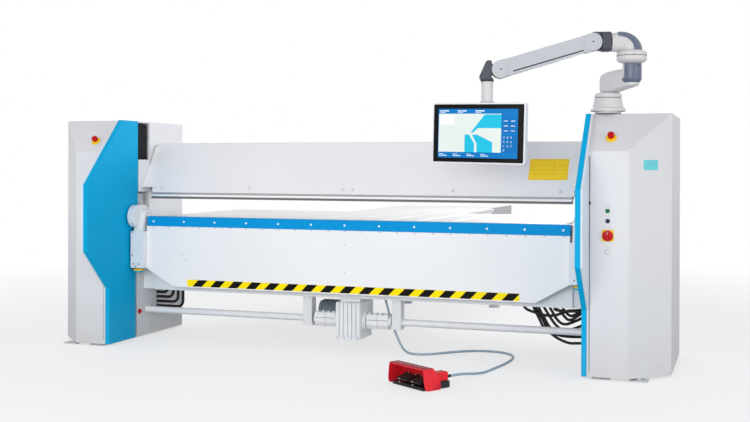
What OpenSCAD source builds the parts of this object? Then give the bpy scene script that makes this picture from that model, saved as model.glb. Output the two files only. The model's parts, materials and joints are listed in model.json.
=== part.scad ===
// Folding machine for sheet metal: two end towers carry a clamping beam that slides
// up and down, a folding beam that swings about the bend line, and a fixed lower
// beam with a feed table of plates behind it. X runs along the bend line, Y runs to
// the back, Z is up. The floor is z = 0.

/* [Working area] */
// Usable bend length, also the length of the rails
work_len = 3096; // [2696:4:3496]
// Height of the table and of the bend line
bend_z = 918; // [908:2:930]
// Distance of the bend line behind the tower fronts
bend_y = 365; // [362:1:367]
// Gap between the clamping rail and the table when open
open_gap = 130; // [122:1:134]
// How far the clamping beam comes down
clamp_travel = 123; // [100:1:125]

/* [Towers] */
// Width of each tower from its inner face to its outer face
tower_w = 514; // [474:2:560]
// Depth of each tower
tower_d = 1032; // [1000:2:1100]
// Height of each tower above the floor
tower_h = 1620; // [1615:1:1640]
// Leg of the 45 degree bevel at the front outer corner and at the top front
tower_bevel = 237; // [180:1:260]
// Thickness of the blue side cheek
cheek_t = 33; // [24:1:38]
// How far the cheek stands forward of the tower front
cheek_reach = 270; // [200:2:300]
// Height of the levelling feet
foot_h = 15; // [12:1:20]

/* [Folding beam] */
// Height of the blue bending rail
rail_h = 71; // [60:1:80]
// Full height of the apron below the bend line
apron_drop = 509; // [470:1:512]
// Apron plate thickness
apron_t = 10; // [8:1:12]
// Radius of the pivot disc on the bend axis
hub_r = 78; // [70:1:80]
// Radius of the pivot pin
pin_r = 30; // [26:1:32]

/* [Feed table] */
// Pitch of the table plates
plate_pitch = 250; // [220:1:254]
// Gap between two plates
plate_gap = 9; // [6:1:14]
// Thickness of a plate
plate_t = 20; // [16:1:24]
// Where the short outer plates end
outer_rear = 1700; // [1500:10:1800]
// Where the long centre plates end
centre_rear = 3200; // [2800:10:3400]

/* [Operator panel] */
// Width of the screen housing
panel_w = 608; // [560:2:640]
// Height of the screen housing
panel_h = 376; // [340:2:390]
// Turn of the screen housing on its tube, in degrees
panel_yaw = -8; // [-14:1:4]
// Length of the tilted boom between its two discs
boom_len = 585; // [560:1:600]
// Drop of the boom from the elbow to the head, in degrees
boom_drop = 16.5; // [12:0.5:18]

/* [Foot switch] */
// Width of the foot switch base
fs_w = 285; // [260:1:300]
// Depth of the foot switch base
fs_d = 110; // [106:1:120]
// Height of the hood
fs_h = 130; // [120:1:140]
// Diameter of the foot switch cable
cable_d = 16; // [12:1:18]

/* [Hidden] */
$fn = 48;

half = work_len / 2;
x_in = half + 118;
x_out = x_in + tower_w;
x_cab = x_in + 45;
fs_rot = -33.7;
fs_at = [632, -518];
fs_front = fs_at[1] + (fs_w + 25.6) * sin(fs_rot) - 14 * cos(fs_rot);
table_half = 6 * plate_pitch;
// the object's own middle in Y becomes y = 0
y_shift = -(centre_rear + fs_front) / 2;
tip_z = bend_z + open_gap;
// the cover and the arms that carry it grow with the towers
rise = tower_h - bend_z;
cover_h = 0.5185 * rise;
arm_h = 0.3462 * rise;
arm_front = 255;
arm_foot = bend_z - 377;
slot_y0 = 375;
slot_y1 = 535;
slot_x1 = x_in + 129;
arm_a = [x_in + 119, 300];
arm_b = arm_a + [160, -150];
boom_dir = [-0.9553, -0.2957];
boom_ang = atan2(boom_dir[1], boom_dir[0]);
boom_s0 = 240;
head_s = boom_s0 + boom_len * cos(boom_drop) + 80;
boom_z0 = tower_h + 432;
boom_z1 = boom_z0 - boom_len * sin(boom_drop);
button_at = [[x_in + 156, 1024], [x_in + 157, 963]];
shaft_y = 500;
shaft_z = 208;

module place() { translate([0, y_shift, 0]) children(); }
module both() { children(); mirror([1, 0, 0]) children(); }
// solid of constant section in the YZ plane, from x0 to x1
module along_x(x0, x1) {
  translate([x0, 0, 0]) rotate([90, 0, 90]) linear_extrude(x1 - x0) children();
}
module box(a, b) { translate(a) cube(b - a); }
module rod_x(x0, x1, y, z, r) {
  translate([x0, y, z]) rotate([0, 90, 0]) cylinder(h = x1 - x0, r = r);
}

// towers
module tower_side() {
  polygon([[0, foot_h], [0, tower_h - tower_bevel], [tower_bevel, tower_h],
    [tower_d, tower_h], [tower_d, foot_h]]);
}
module tower_plan() {
  polygon([[x_cab, 0], [x_out - tower_bevel, 0], [x_out, tower_bevel],
    [x_out, tower_d], [x_cab, tower_d]]);
}
module cheek_profile() {
  polygon([[0, foot_h], [0, 418], [-cheek_reach, 699], [-cheek_reach, 1157],
    [165, tower_h], [slot_y0, tower_h], [slot_y0, 820], [347, 790], [347, foot_h]]);
}
module tower() {
  color("white") difference() {
    union() {
      intersection() {
        along_x(x_cab, x_out) tower_side();
        translate([0, 0, foot_h]) linear_extrude(tower_h - foot_h) tower_plan();
      }
      box([x_in, slot_y0, foot_h], [x_cab, tower_d, tower_h]);
      along_x(x_in + cheek_t, x_cab) cheek_profile();
    }
    box([x_in - 1, slot_y0, 800], [slot_x1, slot_y1, tower_h - 10]);
    rod_x(x_in + 10, x_cab, bend_y, bend_z, pin_r);
    // shadow gap round the front cabinet door
    box([x_cab + 1, -1, 45], [x_cab + 5, 6, tower_h - tower_bevel - 30]);
    // seam of the inner side panel
    box([x_in - 1, 555, 40], [x_in + 4, 559, 740]);
  }
}
module tower_right() {
  difference() {
    tower();
    for (p = button_at) translate([p[0], -1, p[1]]) rotate([-90, 0, 0])
      cylinder(h = 6, r = 11.05);
  }
}
module tower_left() { mirror([1, 0, 0]) tower(); }
module cheek() {
  color("deepskyblue") difference() {
    along_x(x_in, x_in + cheek_t) cheek_profile();
    rod_x(x_in - 1, x_cab, bend_y, bend_z, pin_r);
  }
}
module cheek_right() { cheek(); }
module cheek_left() { mirror([1, 0, 0]) cheek(); }
module levelling_feet() {
  color("dimgray") both()
    for (p = [[x_cab + 70, 60], [x_out - 175, 60], [x_cab + 70, tower_d - 80],
      [x_out - 90, tower_d - 80]])
      translate([p[0], p[1], 0]) {
        translate([-55, -45, 0]) cube([110, 90, 8]);
        cylinder(h = foot_h, r = 14);
      }
}
module pivot_pins() {
  color("silver") both() rod_x(half + 10, x_cab, bend_y, bend_z, pin_r);
}
module bearing_blocks() {
  color("whitesmoke") both() difference() {
    box([x_in, slot_y0, bend_z - 52], [x_cab, 412, bend_z + 48]);
    rod_x(x_in - 1, x_cab + 1, bend_y, bend_z, pin_r + 0.05);
  }
}
module slide_guides() {
  both() {
    color("white") box([slot_x1 - 23, 468, 810], [slot_x1, 512, tower_h - 20]);
    color("dimgray") box([slot_x1 - 17, 515, 810], [slot_x1, 533, tower_h - 20]);
  }
}

// lower beam and table
module lower_beam() {
  color("white") union() {
    along_x(-half, half) polygon([[424, 369], [424, bend_z - plate_t],
      [760, bend_z - plate_t], [760, 460], [669, 369]]);
    both() box([half - 1, 455, 369], [x_in, 669, bend_z - plate_t - 30]);
  }
}
module lower_tool() {
  color("silver") along_x(-half, half)
    polygon([[374, bend_z - 36], [378, bend_z - 40], [424, bend_z - 40],
      [424, bend_z], [374, bend_z]]);
}
module table_plates() {
  color("whitesmoke")
    for (i = [0 : 11]) {
      x0 = -table_half + i * plate_pitch + plate_gap / 2;
      y1 = (i > 3 && i < 8) ? centre_rear : outer_rear;
      translate([x0, 0, bend_z - plate_t]) difference() {
        translate([0, 425, 0]) cube([plate_pitch - plate_gap, y1 - 425, plate_t]);
        for (s = [0, 1]) translate([s * (plate_pitch - plate_gap), 0, plate_t])
          rotate([-90, 45, 0]) translate([-2, -2, 420]) cube([4, 4, y1]);
      }
    }
}
module table_frame() {
  zt = bend_z - plate_t;
  color("lightgray") union() {
    for (s = [-1, 1]) {
      box([s * 420 - 30, 760, zt - 80], [s * 420 + 30, centre_rear - 60, zt]);
      box([s * (table_half - 250) - 30, 760, zt - 80],
        [s * (table_half - 250) + 30, outer_rear - 60, zt]);
      box([s * 420 - 35, centre_rear - 160, 12], [s * 420 + 35, centre_rear - 90, zt - 40]);
      translate([s * 420, centre_rear - 125, 0]) cylinder(h = 14, r = 50);
    }
    box([-table_half + 30, outer_rear - 150, zt - 60], [table_half - 30, outer_rear - 90, zt]);
    box([-table_half + 30, 980, zt - 60], [table_half - 30, 1040, zt]);
    box([-2 * plate_pitch + 20, centre_rear - 160, zt - 60],
      [2 * plate_pitch - 20, centre_rear - 90, zt]);
    box([-2 * plate_pitch + 20, 2350, zt - 60], [2 * plate_pitch - 20, 2410, zt]);
  }
}
module side_guide() {
  color("silver") union() {
    box([2 * plate_pitch, 2180, bend_z - plate_t - 30], [2 * plate_pitch + 120, 2880, bend_z - plate_t]);
    box([2 * plate_pitch + 100, 2180, bend_z - plate_t - 30], [2 * plate_pitch + 120, 2880, bend_z + 30]);
    box([2 * plate_pitch - 50, 2300, bend_z - plate_t - 42],
      [2 * plate_pitch + 90, 2340, bend_z - plate_t - 30]);
  }
}

// synchronising shaft under the beam
module drive_tubes() {
  color("white") both() rod_x(340, x_in, shaft_y, shaft_z, 24);
}
module hanger_brackets() {
  color("white") both() difference() {
    union() {
      box([300, shaft_y - 40, 170], [365, shaft_y + 40, 369]);
      box([292, shaft_y - 46, 160], [365, shaft_y + 46, 182]);
    }
    rod_x(339.7, 400, shaft_y, shaft_z, 24.05);
    rod_x(280, 340, shaft_y, shaft_z, 20);
  }
}
module gearbox() {
  color("gainsboro") union() {
    box([-90, 402, 100], [90, 635, 342]);
    for (i = [0 : 5]) box([-88 + i * 31, 390, 104], [-67 + i * 31, 403, 338]);
    box([-90, 394, 89], [90, 640, 104]);
    box([-90, 560, 170], [66, 735, 330]);
    box([-74, 440, 340], [74, 620, 369]);
    rod_x(-110, 110, shaft_y, shaft_z, 66);
  }
}
module shaft_couplings() {
  color("gainsboro") both() union() {
    rod_x(110, 292, shaft_y, shaft_z, 30);
    difference() {
      rod_x(114, 274, shaft_y, shaft_z, 52);
      box([100, shaft_y - 60, shaft_z - 1.5], [280, shaft_y - 40, shaft_z + 1.5]);
    }
    for (i = [0 : 3]) translate([134 + i * 40, shaft_y - 32, shaft_z + 34])
      cylinder(h = 22, r = 8);
  }
}
module drive_motor() {
  color("dimgray") union() {
    rod_x(-300, -90, 652, 250, 68);
    for (i = [0 : 7]) rod_x(-280 + i * 22, -270 + i * 22, 652, 250, 78);
  }
}
// hoses leave the left tower, run inward and turn up to the lower beam, nested
function hose_left(i) = let (z = 322 - i * 35, x = -x_in + 100 + i * 42, r = 44)
  concat([for (k = [0 : 3]) [-x_in + 0.5 + k * (x - r + x_in - 0.5) / 4, 650, z]],
    [for (a = [0 : 15 : 90]) [x - r + r * sin(a), 650, z + r - r * cos(a)]],
    [[x, 650, 368.5]]);
// and droop from the lower beam into the right tower, each a little lower
function hose_right(i) = let (x = x_in - 400 + i * 38, z = 318 - i * 40, y = 656 - i * 23,
  m = (x + x_in) / 2 - 40, low = max(z - 18, 84))
  [[x, y, 367.5], [x, y, 354], [x + 8, y, 335], [(x + m) / 2, y, (336 + low) / 2 - 6],
    [m, y, low], [(m + x_in) / 2, y, (low + z) / 2 - 3], [x_in - 30, y, z],
    [x_in - 1, y, z]];
module hose_bundle_left() {
  color("#222") for (i = [0 : 3]) pipe(hose_left(i), 11, 10);
}
module hose_bundle_right() {
  color("#222") for (i = [0 : 5]) tube(hose_right(i), 11, 28, 10);
}

// sweep of a round tube through points
function cr(p, t) = let (n = len(p), k = min(floor(t), n - 2), f = t - k,
  a = p[max(k - 1, 0)], b = p[k], c = p[k + 1], d = p[min(k + 2, n - 1)])
  0.5 * (2 * b + (c - a) * f + (2 * a - 5 * b + 4 * c - d) * f * f
    + (3 * b - a - 3 * c + d) * f * f * f);
function unit(v) = v / norm(v);
function frames(q, i, u) = i >= len(q) ? [] :
  let (t = unit(q[min(i + 1, len(q) - 1)] - q[max(i - 1, 0)]),
    w = unit(u - (u * t) * t))
  concat([[q[i], w, cross(t, w)]], frames(q, i + 1, w));
module tube(pts, r, rings, sides) {
  m = len(pts) - 1;
  pipe([for (i = [0 : rings - 1]) cr(pts, m * i / (rings - 1))], r, sides);
}
module pipe(q, r, sides) {
  rings = len(q);
  t0 = unit(q[1] - q[0]);
  f = frames(q, 0, abs(t0[2]) > 0.8 ? [1, 0, 0] : [0, 0, 1]);
  v = [for (g = f) for (k = [0 : sides - 1])
    g[0] + r * (cos(360 * k / sides) * g[1] + sin(360 * k / sides) * g[2])];
  polyhedron(v, concat(
    [[for (k = [0 : sides - 1]) k]],
    [for (i = [0 : rings - 2]) for (k = [0 : sides - 1])
      let (a = i * sides + k, b = i * sides + (k + 1) % sides)
      [a, a + sides, b + sides, b]],
    [[for (k = [sides - 1 : -1 : 0]) (rings - 1) * sides + k]]));
}

// clamping beam
module upper_beam() {
  z0 = tip_z + 44;
  color("gainsboro") difference() {
    along_x(-x_in + 6, x_in - 6) polygon([[402, z0], [626, z0 + cover_h],
      [634, z0 + cover_h + 6], [700, z0 + cover_h + 6], [700, z0 + 90], [612, z0]]);
    both() box([half + 1, 380, z0 - 1], [x_in, 560, z0 + 38]);
    both() translate([x_in - 6, 0, z0 + cover_h + 6]) rotate([0, 45, 0])
      translate([-28, 500, -28]) cube([56, 300, 56]);
  }
}
module upper_tool() {
  color("silver") along_x(-half, half)
    polygon([[bend_y, tip_z], [bend_y + 1, tip_z + 5], [bend_y + 19, tip_z + 21],
      [bend_y + 22, tip_z + 30], [402, tip_z + 44], [480, tip_z + 44],
      [480, tip_z + 24], [430, tip_z]]);
}
module clamp_arms() {
  z0 = tip_z + 44;
  color("whitesmoke") both() union() {
    box([x_in - 6, 385, z0 + 3], [slot_x1 - 35, 528, z0 + arm_h]);
    box([slot_x1 - 36, 470, z0 + 40], [slot_x1 - 23.3, 510, z0 + arm_h - 33]);
  }
}
module pleats(x0, x1, y0, y1, z0, z1, n) {
  p = (z1 - z0) / n;
  translate([0, y0, 0]) rotate([90, 0, 0]) mirror([0, 0, 1]) linear_extrude(y1 - y0)
    polygon(concat([[x1, z1], [x1, z0]],
      [for (i = [0 : n - 1]) for (s = [0, 1])
        [x0 + (s == 0 ? 8 : 0), z0 + (i + s * 0.5) * p]], [[x0 + 8, z1]]));
}
module bellows_upper() {
  color("#222") both()
    pleats(x_in + 10, x_in + 36, 381, 529, tip_z + 45 + arm_h, tower_h - 10, 22);
}
module bellows_lower() {
  color("gray") both()
    pleats(x_in + 50, x_in + 74, 381, 463, 800, tip_z + 46, 22);
}

// folding beam, swings about the bend line
module bending_rail() {
  color("dodgerblue") along_x(-half, half)
    polygon([[316, bend_z - rail_h], [316, bend_z - 2], [318, bend_z],
      [bend_y - 7, bend_z], [bend_y - 7, bend_z - rail_h]]);
}
module apron() {
  zb = bend_z - apron_drop;
  zt = bend_z - rail_h;
  color("white") union() {
    translate([0, 306 + apron_t, 0]) rotate([90, 0, 0]) linear_extrude(apron_t)
      polygon([[-half, zt], [half, zt], [half, zb + 126], [half - 223, zb],
        [-half + 223, zb], [-half, zb + 126]]);
    box([-half + 225, 306, zb], [half - 225, 345, zb + 8]);
  }
}
module beam_core() {
  color("whitesmoke") union() {
    along_x(-half + 40, half - 40) polygon([[316, 470], [316, bend_z - rail_h],
      [bend_y - 7, bend_z - rail_h], [396, bend_z - rail_h - 30], [412, 800], [412, 560],
      [380, 470]]);
    both() box([half - 45, 345, 600], [half + 19, 400, 800]);
  }
}
module end_arms() {
  color("whitesmoke") both() difference() {
    union() {
      box([half, arm_front, arm_foot], [half + 104, arm_front + 85, arm_foot + 267]);
      along_x(half + 19, half + 104) polygon([[arm_front + 84, arm_foot + 19],
        [392, arm_foot + 59], [400, arm_foot + 79], [400, arm_foot + 259],
        [arm_front + 84, arm_foot + 267]]);
      along_x(half + 19, half + 92) polygon([[arm_front + 20, arm_foot + 266],
        [bend_y - 50, bend_z - 12], [bend_y + 46, bend_z - 18], [400, arm_foot + 258]]);
      rod_x(half + 19, half + 92, bend_y, bend_z, 50);
      rod_x(half + 91, half + 106, bend_y, bend_z, hub_r);
    }
    rod_x(half, half + 110, bend_y, bend_z, pin_r + 0.05);
  }
}
module adjuster_wheels() {
  both() translate([half + 64, arm_front + 43, 0]) {
    color("gold") union() {
      translate([0, 0, arm_foot - 22]) cylinder(h = 11, r = 39);
      translate([0, 0, arm_foot - 12]) cylinder(h = 12, r = 12);
    }
    color("dodgerblue") translate([0, 0, arm_foot - 33]) cylinder(h = 11, r = 35);
  }
}

// controls on the towers
module on_slant(sx) {
  translate([sx * (x_in + 166), 81, tower_h - tower_bevel + 81]) rotate([45, 0, 0]) children();
}
module stop_collars() {
  color("gold") for (s = [-1, 1]) on_slant(s) difference() {
    union() { cylinder(h = 4, r = 34); cylinder(h = 12, r = 17); }
    translate([0, 0, 2]) cylinder(h = 12, r = 8.05);
  }
}
module stop_button() {
  color("red") {
    translate([0, 0, 8]) cylinder(h = 14, r = 8);
    translate([0, 0, 20]) rotate_extrude()
      polygon([[0, 0], [17, 0], [21, 4], [21, 14], [16, 20], [0, 22]]);
  }
}
module stop_button_left() { on_slant(-1) stop_button(); }
module stop_button_right() { on_slant(1) stop_button(); }
module main_switch_plate() {
  color("gold") difference() {
    box([x_in + 122, -6, 840], [x_in + 192, 0, 910]);
    translate([x_in + 157, -7, 875]) rotate([-90, 0, 0]) cylinder(h = 4, r = 10.05);
  }
}
module main_switch_knob() {
  color("red") translate([x_in + 157, -3, 875]) rotate([90, 0, 0]) union() {
    cylinder(h = 5, r = 10);
    translate([0, 0, 5]) cylinder(h = 10, r = 33);
    translate([-8, -29, 14]) cube([16, 58, 14]);
  }
}
module push_button(c) {
  color(c) rotate([90, 0, 0]) union() {
    cylinder(h = 9, r = 11);
    translate([0, 0, 7]) cylinder(h = 5, r = 14);
  }
}
module start_button() {
  translate([button_at[0][0], 0, button_at[0][1]]) push_button("green");
}
module reset_button() {
  translate([button_at[1][0], 0, button_at[1][1]]) push_button("royalblue");
}

// operator panel on its arm
module arm_base() {
  color("whitesmoke") translate([arm_a[0], arm_a[1], 0]) union() {
    translate([0, 0, tower_h]) cylinder(h = 20, r = 80);
    translate([0, 0, tower_h + 18]) rotate_extrude()
      polygon([[0, 0], [108, 0], [108, 18], [96, 24], [82, 86], [0, 86]]);
  }
}
module toward(a, b) {
  translate([a[0], a[1], 0]) rotate([0, 0, atan2(b[1] - a[1], b[0] - a[0])]) children();
}
module arm_link() {
  z0 = tower_h + 104.3;
  color("whitesmoke") union() {
    translate([arm_a[0], arm_a[1], z0]) rotate_extrude()
      polygon([[0, 0], [82, 0], [84, 4], [84, 22], [70, 32], [0, 32]]);
    toward(arm_a, arm_b) {
      translate([0, 0, z0 + 30]) cylinder(h = 116, r = 52);
      translate([0, -44, z0 + 34]) cube([norm(arm_b - arm_a), 88, 122]);
    }
    translate([arm_b[0], arm_b[1], tower_h + 170]) cylinder(h = 150, r = 60);
    translate([arm_b[0], arm_b[1], tower_h + 316]) rotate_extrude()
      polygon([[0, 0], [78, 0], [92, 12], [92, 34], [0, 34]]);
  }
}
module arm_elbow() {
  color("whitesmoke") union() {
    translate([arm_b[0], arm_b[1], tower_h + 350.3]) rotate_extrude()
      polygon([[0, 0], [92, 0], [92, 22], [78, 34], [0, 34]]);
    translate([arm_b[0], arm_b[1], tower_h + 380]) cylinder(h = 90, r = 62);
    translate([arm_b[0], arm_b[1], 0]) rotate([0, 0, boom_ang]) {
      translate([0, 0, boom_z0 + 4]) rotate([0, 90, 0]) cylinder(h = 130, r = 56);
      translate([0, 0, boom_z0 + 4]) sphere(r = 62);
      translate([128, 0, boom_z0]) rotate([0, 90, 0]) cylinder(h = 54, r = 58);
      translate([176, -26, boom_z0 - 40]) cube([94, 52, 80]);
    }
  }
}
module arm_boom() {
  color("lightgray") translate([arm_b[0], arm_b[1], boom_z0]) rotate([0, 0, boom_ang])
    translate([boom_s0, 0, 0]) rotate([0, boom_drop, 0]) difference() {
      union() {
        for (x = [0, boom_len]) translate([x, 45, 0]) rotate([90, 0, 0]) cylinder(h = 90, r = 55);
        translate([0, -40, -52]) cube([boom_len, 80, 104]);
      }
      translate([-70, -26.5, -60]) cube([135, 53, 120]);
      translate([boom_len - 65, -26.5, -60]) cube([135, 53, 120]);
    }
}
module panel_head() {
  color("#333") translate([arm_b[0], arm_b[1], 0]) rotate([0, 0, boom_ang]) union() {
    translate([head_s - 110, -26, boom_z1 - 38]) cube([92, 52, 76]);
    translate([head_s, 0, boom_z1]) rotate([90, 0, 0]) translate([0, 0, -45])
      linear_extrude(90) polygon([[-22, -66], [42, -66], [48, -40], [4, 52], [-22, 52]]);
    translate([head_s, 0, boom_z1 - 74]) cylinder(h = 20, r = 40);
  }
}
module at_head() {
  translate([arm_b[0] + boom_dir[0] * head_s, arm_b[1] + boom_dir[1] * head_s, 0])
    rotate([0, 0, panel_yaw]) children();
}
panel_top = boom_z1 - 204;
module panel_housing() {
  color("whitesmoke") at_head() union() {
    translate([0, 0, panel_top - 30]) cylinder(h = boom_z1 - 74.3 - panel_top + 30, r = 36);
    box([-42 - panel_w / 2, -52, panel_top - panel_h], [-42 + panel_w / 2, -6, panel_top]);
    box([-42 - panel_w / 2 + 60, -8, panel_top - panel_h + 50],
      [-42 + panel_w / 2 - 60, 36, panel_top - 20]);
    box([-48, -10, panel_top - 90], [48, 44, panel_top]);
  }
}
module screen() {
  color("#111") at_head()
    box([-42 - panel_w / 2 + 6, -56, panel_top - panel_h + 6],
      [-42 + panel_w / 2 - 6, -52, panel_top - 6]);
}

// foot switch
module at_foot() { translate([fs_at[0], fs_at[1], 0]) rotate([0, 0, fs_rot]) children(); }
module footswitch_base() {
  color("#222") at_foot() union() {
    box([0, 0, 0], [fs_w, fs_d, 18]);
    box([fs_w - 74, fs_d - 5, 0], [fs_w, fs_d + 90, 40]);
    for (x = [20, fs_w / 2, fs_w - 22]) box([x, fs_d - 36, 16], [x + 12, fs_d - 18, 66]);
    rod_x(22, fs_w - 12, fs_d - 26, 54, 4);
  }
}
// the hood's end walls lean in towards the top
module leaning(side, top) {
  translate([0, 200, 0]) rotate([90, 0, 0]) linear_extrude(300)
    polygon([[-side, -2], [fs_w + side, -2], [fs_w - top, fs_h + 1], [top, fs_h + 1]]);
}
module footswitch_hood() {
  color("red") at_foot() union() {
    difference() {
      intersection() {
        along_x(-60, fs_w + 60) polygon([[2, 4], [-8, 14], [-14, 60], [-15, 100],
          [-12, fs_h - 4], [-6, fs_h], [fs_d - 55, fs_h], [fs_d - 12, 84], [fs_d - 2, 50],
          [fs_d - 2, 16], [fs_d - 12, 4]]);
        leaning(34, -16);
      }
      intersection() {
        along_x(-60, fs_w + 60) polygon([[-40, -4], [-40, fs_h - 8], [fs_d - 59, fs_h - 8],
          [fs_d - 20, 80], [fs_d - 10, 50], [fs_d - 10, -4]]);
        leaning(26, -8);
      }
      box([-1, -20, -1], [fs_w + 1, fs_d + 1, 18]);
      box([fs_w - 75, fs_d - 6, 0], [fs_w + 1, fs_d + 90, 40]);
    }
    box([fs_w - 71, fs_d - 5, 40], [fs_w - 4, fs_d + 86, 92]);
  }
}
module pedal(x0) {
  color("#1a1a1a") at_foot() difference() {
    along_x(x0, x0 + 104)
      polygon([[0, 34], [0, 42], [fs_d - 46, 62], [fs_d - 18, 62], [fs_d - 18, 46],
        [fs_d - 46, 46]]);
    rod_x(x0 - 1, x0 + 105, fs_d - 26, 54, 4.05);
  }
}
module pedal_left() { pedal(34); }
module pedal_right() { pedal(fs_w / 2 + 14); }
function at_f(p) = [fs_at[0] + p[0] * cos(fs_rot) - p[1] * sin(fs_rot),
  fs_at[1] + p[0] * sin(fs_rot) + p[1] * cos(fs_rot), p[2]];
// the cable leaves the back of the switch, loops on the floor and climbs to the lower beam
cable_pts = [at_f([fs_w - 35, fs_d + 86.5, 58]), at_f([fs_w - 35, fs_d + 115, 58]),
  [985, -432, 57], [1002, -372, 52], [1022, -282, 40], [1050, -166, 22], [1078, -40, 10],
  [1104, 100, 9], [1128, 240, 9], [1142, 380, 9], [1140, 500, 9], [1108, 612, 9],
  [1030, 686, 9], [920, 708, 9], [820, 684, 9], [730, 620, 9], [650, 535, 9], [575, 458, 9],
  [502, 425, 9], [430, 446, 10], [374, 504, 22], [332, 548, 56], [298, 572, 108],
  [270, 580, 166], [248, 582, 226], [230, 582, 290], [216, 582, 338], [211, 582, 366.5]];
module footswitch_cable() {
  color("slategray") tube(cable_pts, cable_d / 2, 109, 10);
}

place() tower_left();
place() tower_right();
place() cheek_left();
place() cheek_right();
place() levelling_feet();
place() pivot_pins();
place() bearing_blocks();
place() slide_guides();
place() lower_beam();
place() lower_tool();
place() table_plates();
place() table_frame();
place() side_guide();
place() drive_tubes();
place() hanger_brackets();
place() gearbox();
place() shaft_couplings();
place() drive_motor();
place() hose_bundle_left();
place() hose_bundle_right();
place() stop_collars();
place() main_switch_plate();
place() arm_base();
place() footswitch_base();
place() footswitch_hood();
place() footswitch_cable();
place() upper_beam();
place() upper_tool();
place() clamp_arms();
place() bellows_upper();
place() bellows_lower();
place() bending_rail();
place() apron();
place() beam_core();
place() end_arms();
place() adjuster_wheels();
place() stop_button_left();
place() stop_button_right();
place() main_switch_knob();
place() start_button();
place() reset_button();
place() pedal_left();
place() pedal_right();
place() arm_link();
place() arm_elbow();
place() arm_boom();
place() panel_head();
place() panel_housing();
place() screen();
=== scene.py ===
"""Looks for the sheet metal folding machine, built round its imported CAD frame.

Places are written in the machine's own millimetres, as in the CAD source: x along
the bend line, y from the tower fronts to the back, z up from the floor. at() turns
them into the row frame in metres. Handed pieces take side = -1 (left) or 1 (right).
"""

import json
import math

import bmesh
import bpy
from mathutils import Matrix, Vector

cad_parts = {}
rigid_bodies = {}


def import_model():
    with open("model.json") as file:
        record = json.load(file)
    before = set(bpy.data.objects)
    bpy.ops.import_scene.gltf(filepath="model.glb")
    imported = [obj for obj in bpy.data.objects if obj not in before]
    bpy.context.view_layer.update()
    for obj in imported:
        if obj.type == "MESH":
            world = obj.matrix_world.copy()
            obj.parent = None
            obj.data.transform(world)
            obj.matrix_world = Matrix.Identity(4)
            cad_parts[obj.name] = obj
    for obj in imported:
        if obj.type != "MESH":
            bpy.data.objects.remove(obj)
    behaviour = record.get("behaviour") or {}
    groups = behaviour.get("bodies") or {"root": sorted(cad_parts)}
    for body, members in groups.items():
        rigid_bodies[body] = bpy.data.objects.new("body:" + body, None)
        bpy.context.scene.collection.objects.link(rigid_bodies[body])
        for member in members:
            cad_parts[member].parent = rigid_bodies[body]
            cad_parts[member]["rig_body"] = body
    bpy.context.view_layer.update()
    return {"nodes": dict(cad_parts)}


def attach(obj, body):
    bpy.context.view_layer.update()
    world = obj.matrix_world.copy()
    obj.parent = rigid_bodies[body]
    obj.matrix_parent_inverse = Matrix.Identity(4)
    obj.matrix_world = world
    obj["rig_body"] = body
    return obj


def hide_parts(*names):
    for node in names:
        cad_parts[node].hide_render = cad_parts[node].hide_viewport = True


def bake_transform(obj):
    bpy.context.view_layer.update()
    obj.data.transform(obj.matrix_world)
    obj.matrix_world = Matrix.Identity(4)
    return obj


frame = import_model()

# Sizes of the machine, in millimetres
BACK = -1249.009  # shift of the machine's y = 0 to the middle of its box
HALF = 1548.0  # half of the working length
INNER = 1666.0  # inner face of a tower
CABINET = 1711.0  # inner edge of the cabinet front
OUTER = 2180.0
TOWER_TOP = 1620.0
TOWER_BEVEL = 237.0
TOWER_DEPTH = 1032.0
BEND_Y, BEND_Z = 365.0, 918.0
RAIL_FOOT = 847.0
TIP_Z = 1048.0  # edge of the open clamping tool
COVER_FOOT = (402.0, 1092.0)  # front foot of the cover, y and z
COVER_HEAD = (626.0, 1456.0)
APRON_Y = 306.0
ARM_A = (1785.0, 300.0)
ARM_B = (1945.0, 150.0)
BOOM_DIR = (-0.9553, -0.2957)
BOOM_START, BOOM_LEN, BOOM_DROP = 240.0, 585.0, math.radians(16.5)
BOOM_Z = 2052.0
HEAD_S = BOOM_START + BOOM_LEN * math.cos(BOOM_DROP) + 80
HEAD_Z = BOOM_Z - BOOM_LEN * math.sin(BOOM_DROP)
PANEL_TOP = HEAD_Z - 204
PANEL_W, PANEL_H = 608.0, 376.0
PANEL_YAW = math.radians(-8)
SWITCH_AT, SWITCH_TURN = (632.0, -518.0), math.radians(-33.7)
SWITCH_W, SWITCH_D, SWITCH_H = 285.0, 110.0, 130.0
CABLE_D = 16.0


def at(x, y, z):
    """A point in the machine's millimetres, in the row frame in metres."""
    return Vector((x / 1000, (y + BACK) / 1000, z / 1000))


def turned_frame(origin, angle):
    """A function from a turned part's own millimetres to the machine's."""
    c, s = math.cos(angle), math.sin(angle)
    return lambda p: (origin[0] + p[0] * c - p[1] * s, origin[1] + p[0] * s + p[1] * c, p[2])


on_switch = turned_frame(SWITCH_AT, SWITCH_TURN)
HEAD_AT = (ARM_B[0] + BOOM_DIR[0] * HEAD_S, ARM_B[1] + BOOM_DIR[1] * HEAD_S)
on_panel = turned_frame(HEAD_AT, PANEL_YAW)
on_arm = turned_frame(ARM_B, math.atan2(BOOM_DIR[1], BOOM_DIR[0]))


def on_boom(p):
    """Along, across and up on the tilted boom, from its upper pivot."""
    c, s = math.cos(BOOM_DROP), math.sin(BOOM_DROP)
    return on_arm((BOOM_START + p[0] * c + p[2] * s, p[1], BOOM_Z - p[0] * s + p[2] * c))


def on_cover(x, up, out=0.0):
    """A place on the slanted cover, up its slope and out of its face."""
    dy, dz = COVER_HEAD[0] - COVER_FOOT[0], COVER_HEAD[1] - COVER_FOOT[1]
    n = math.hypot(dy, dz)
    return (x, COVER_FOOT[0] + (up * dy - out * dz) / n, COVER_FOOT[1] + (up * dz + out * dy) / n)


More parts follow.
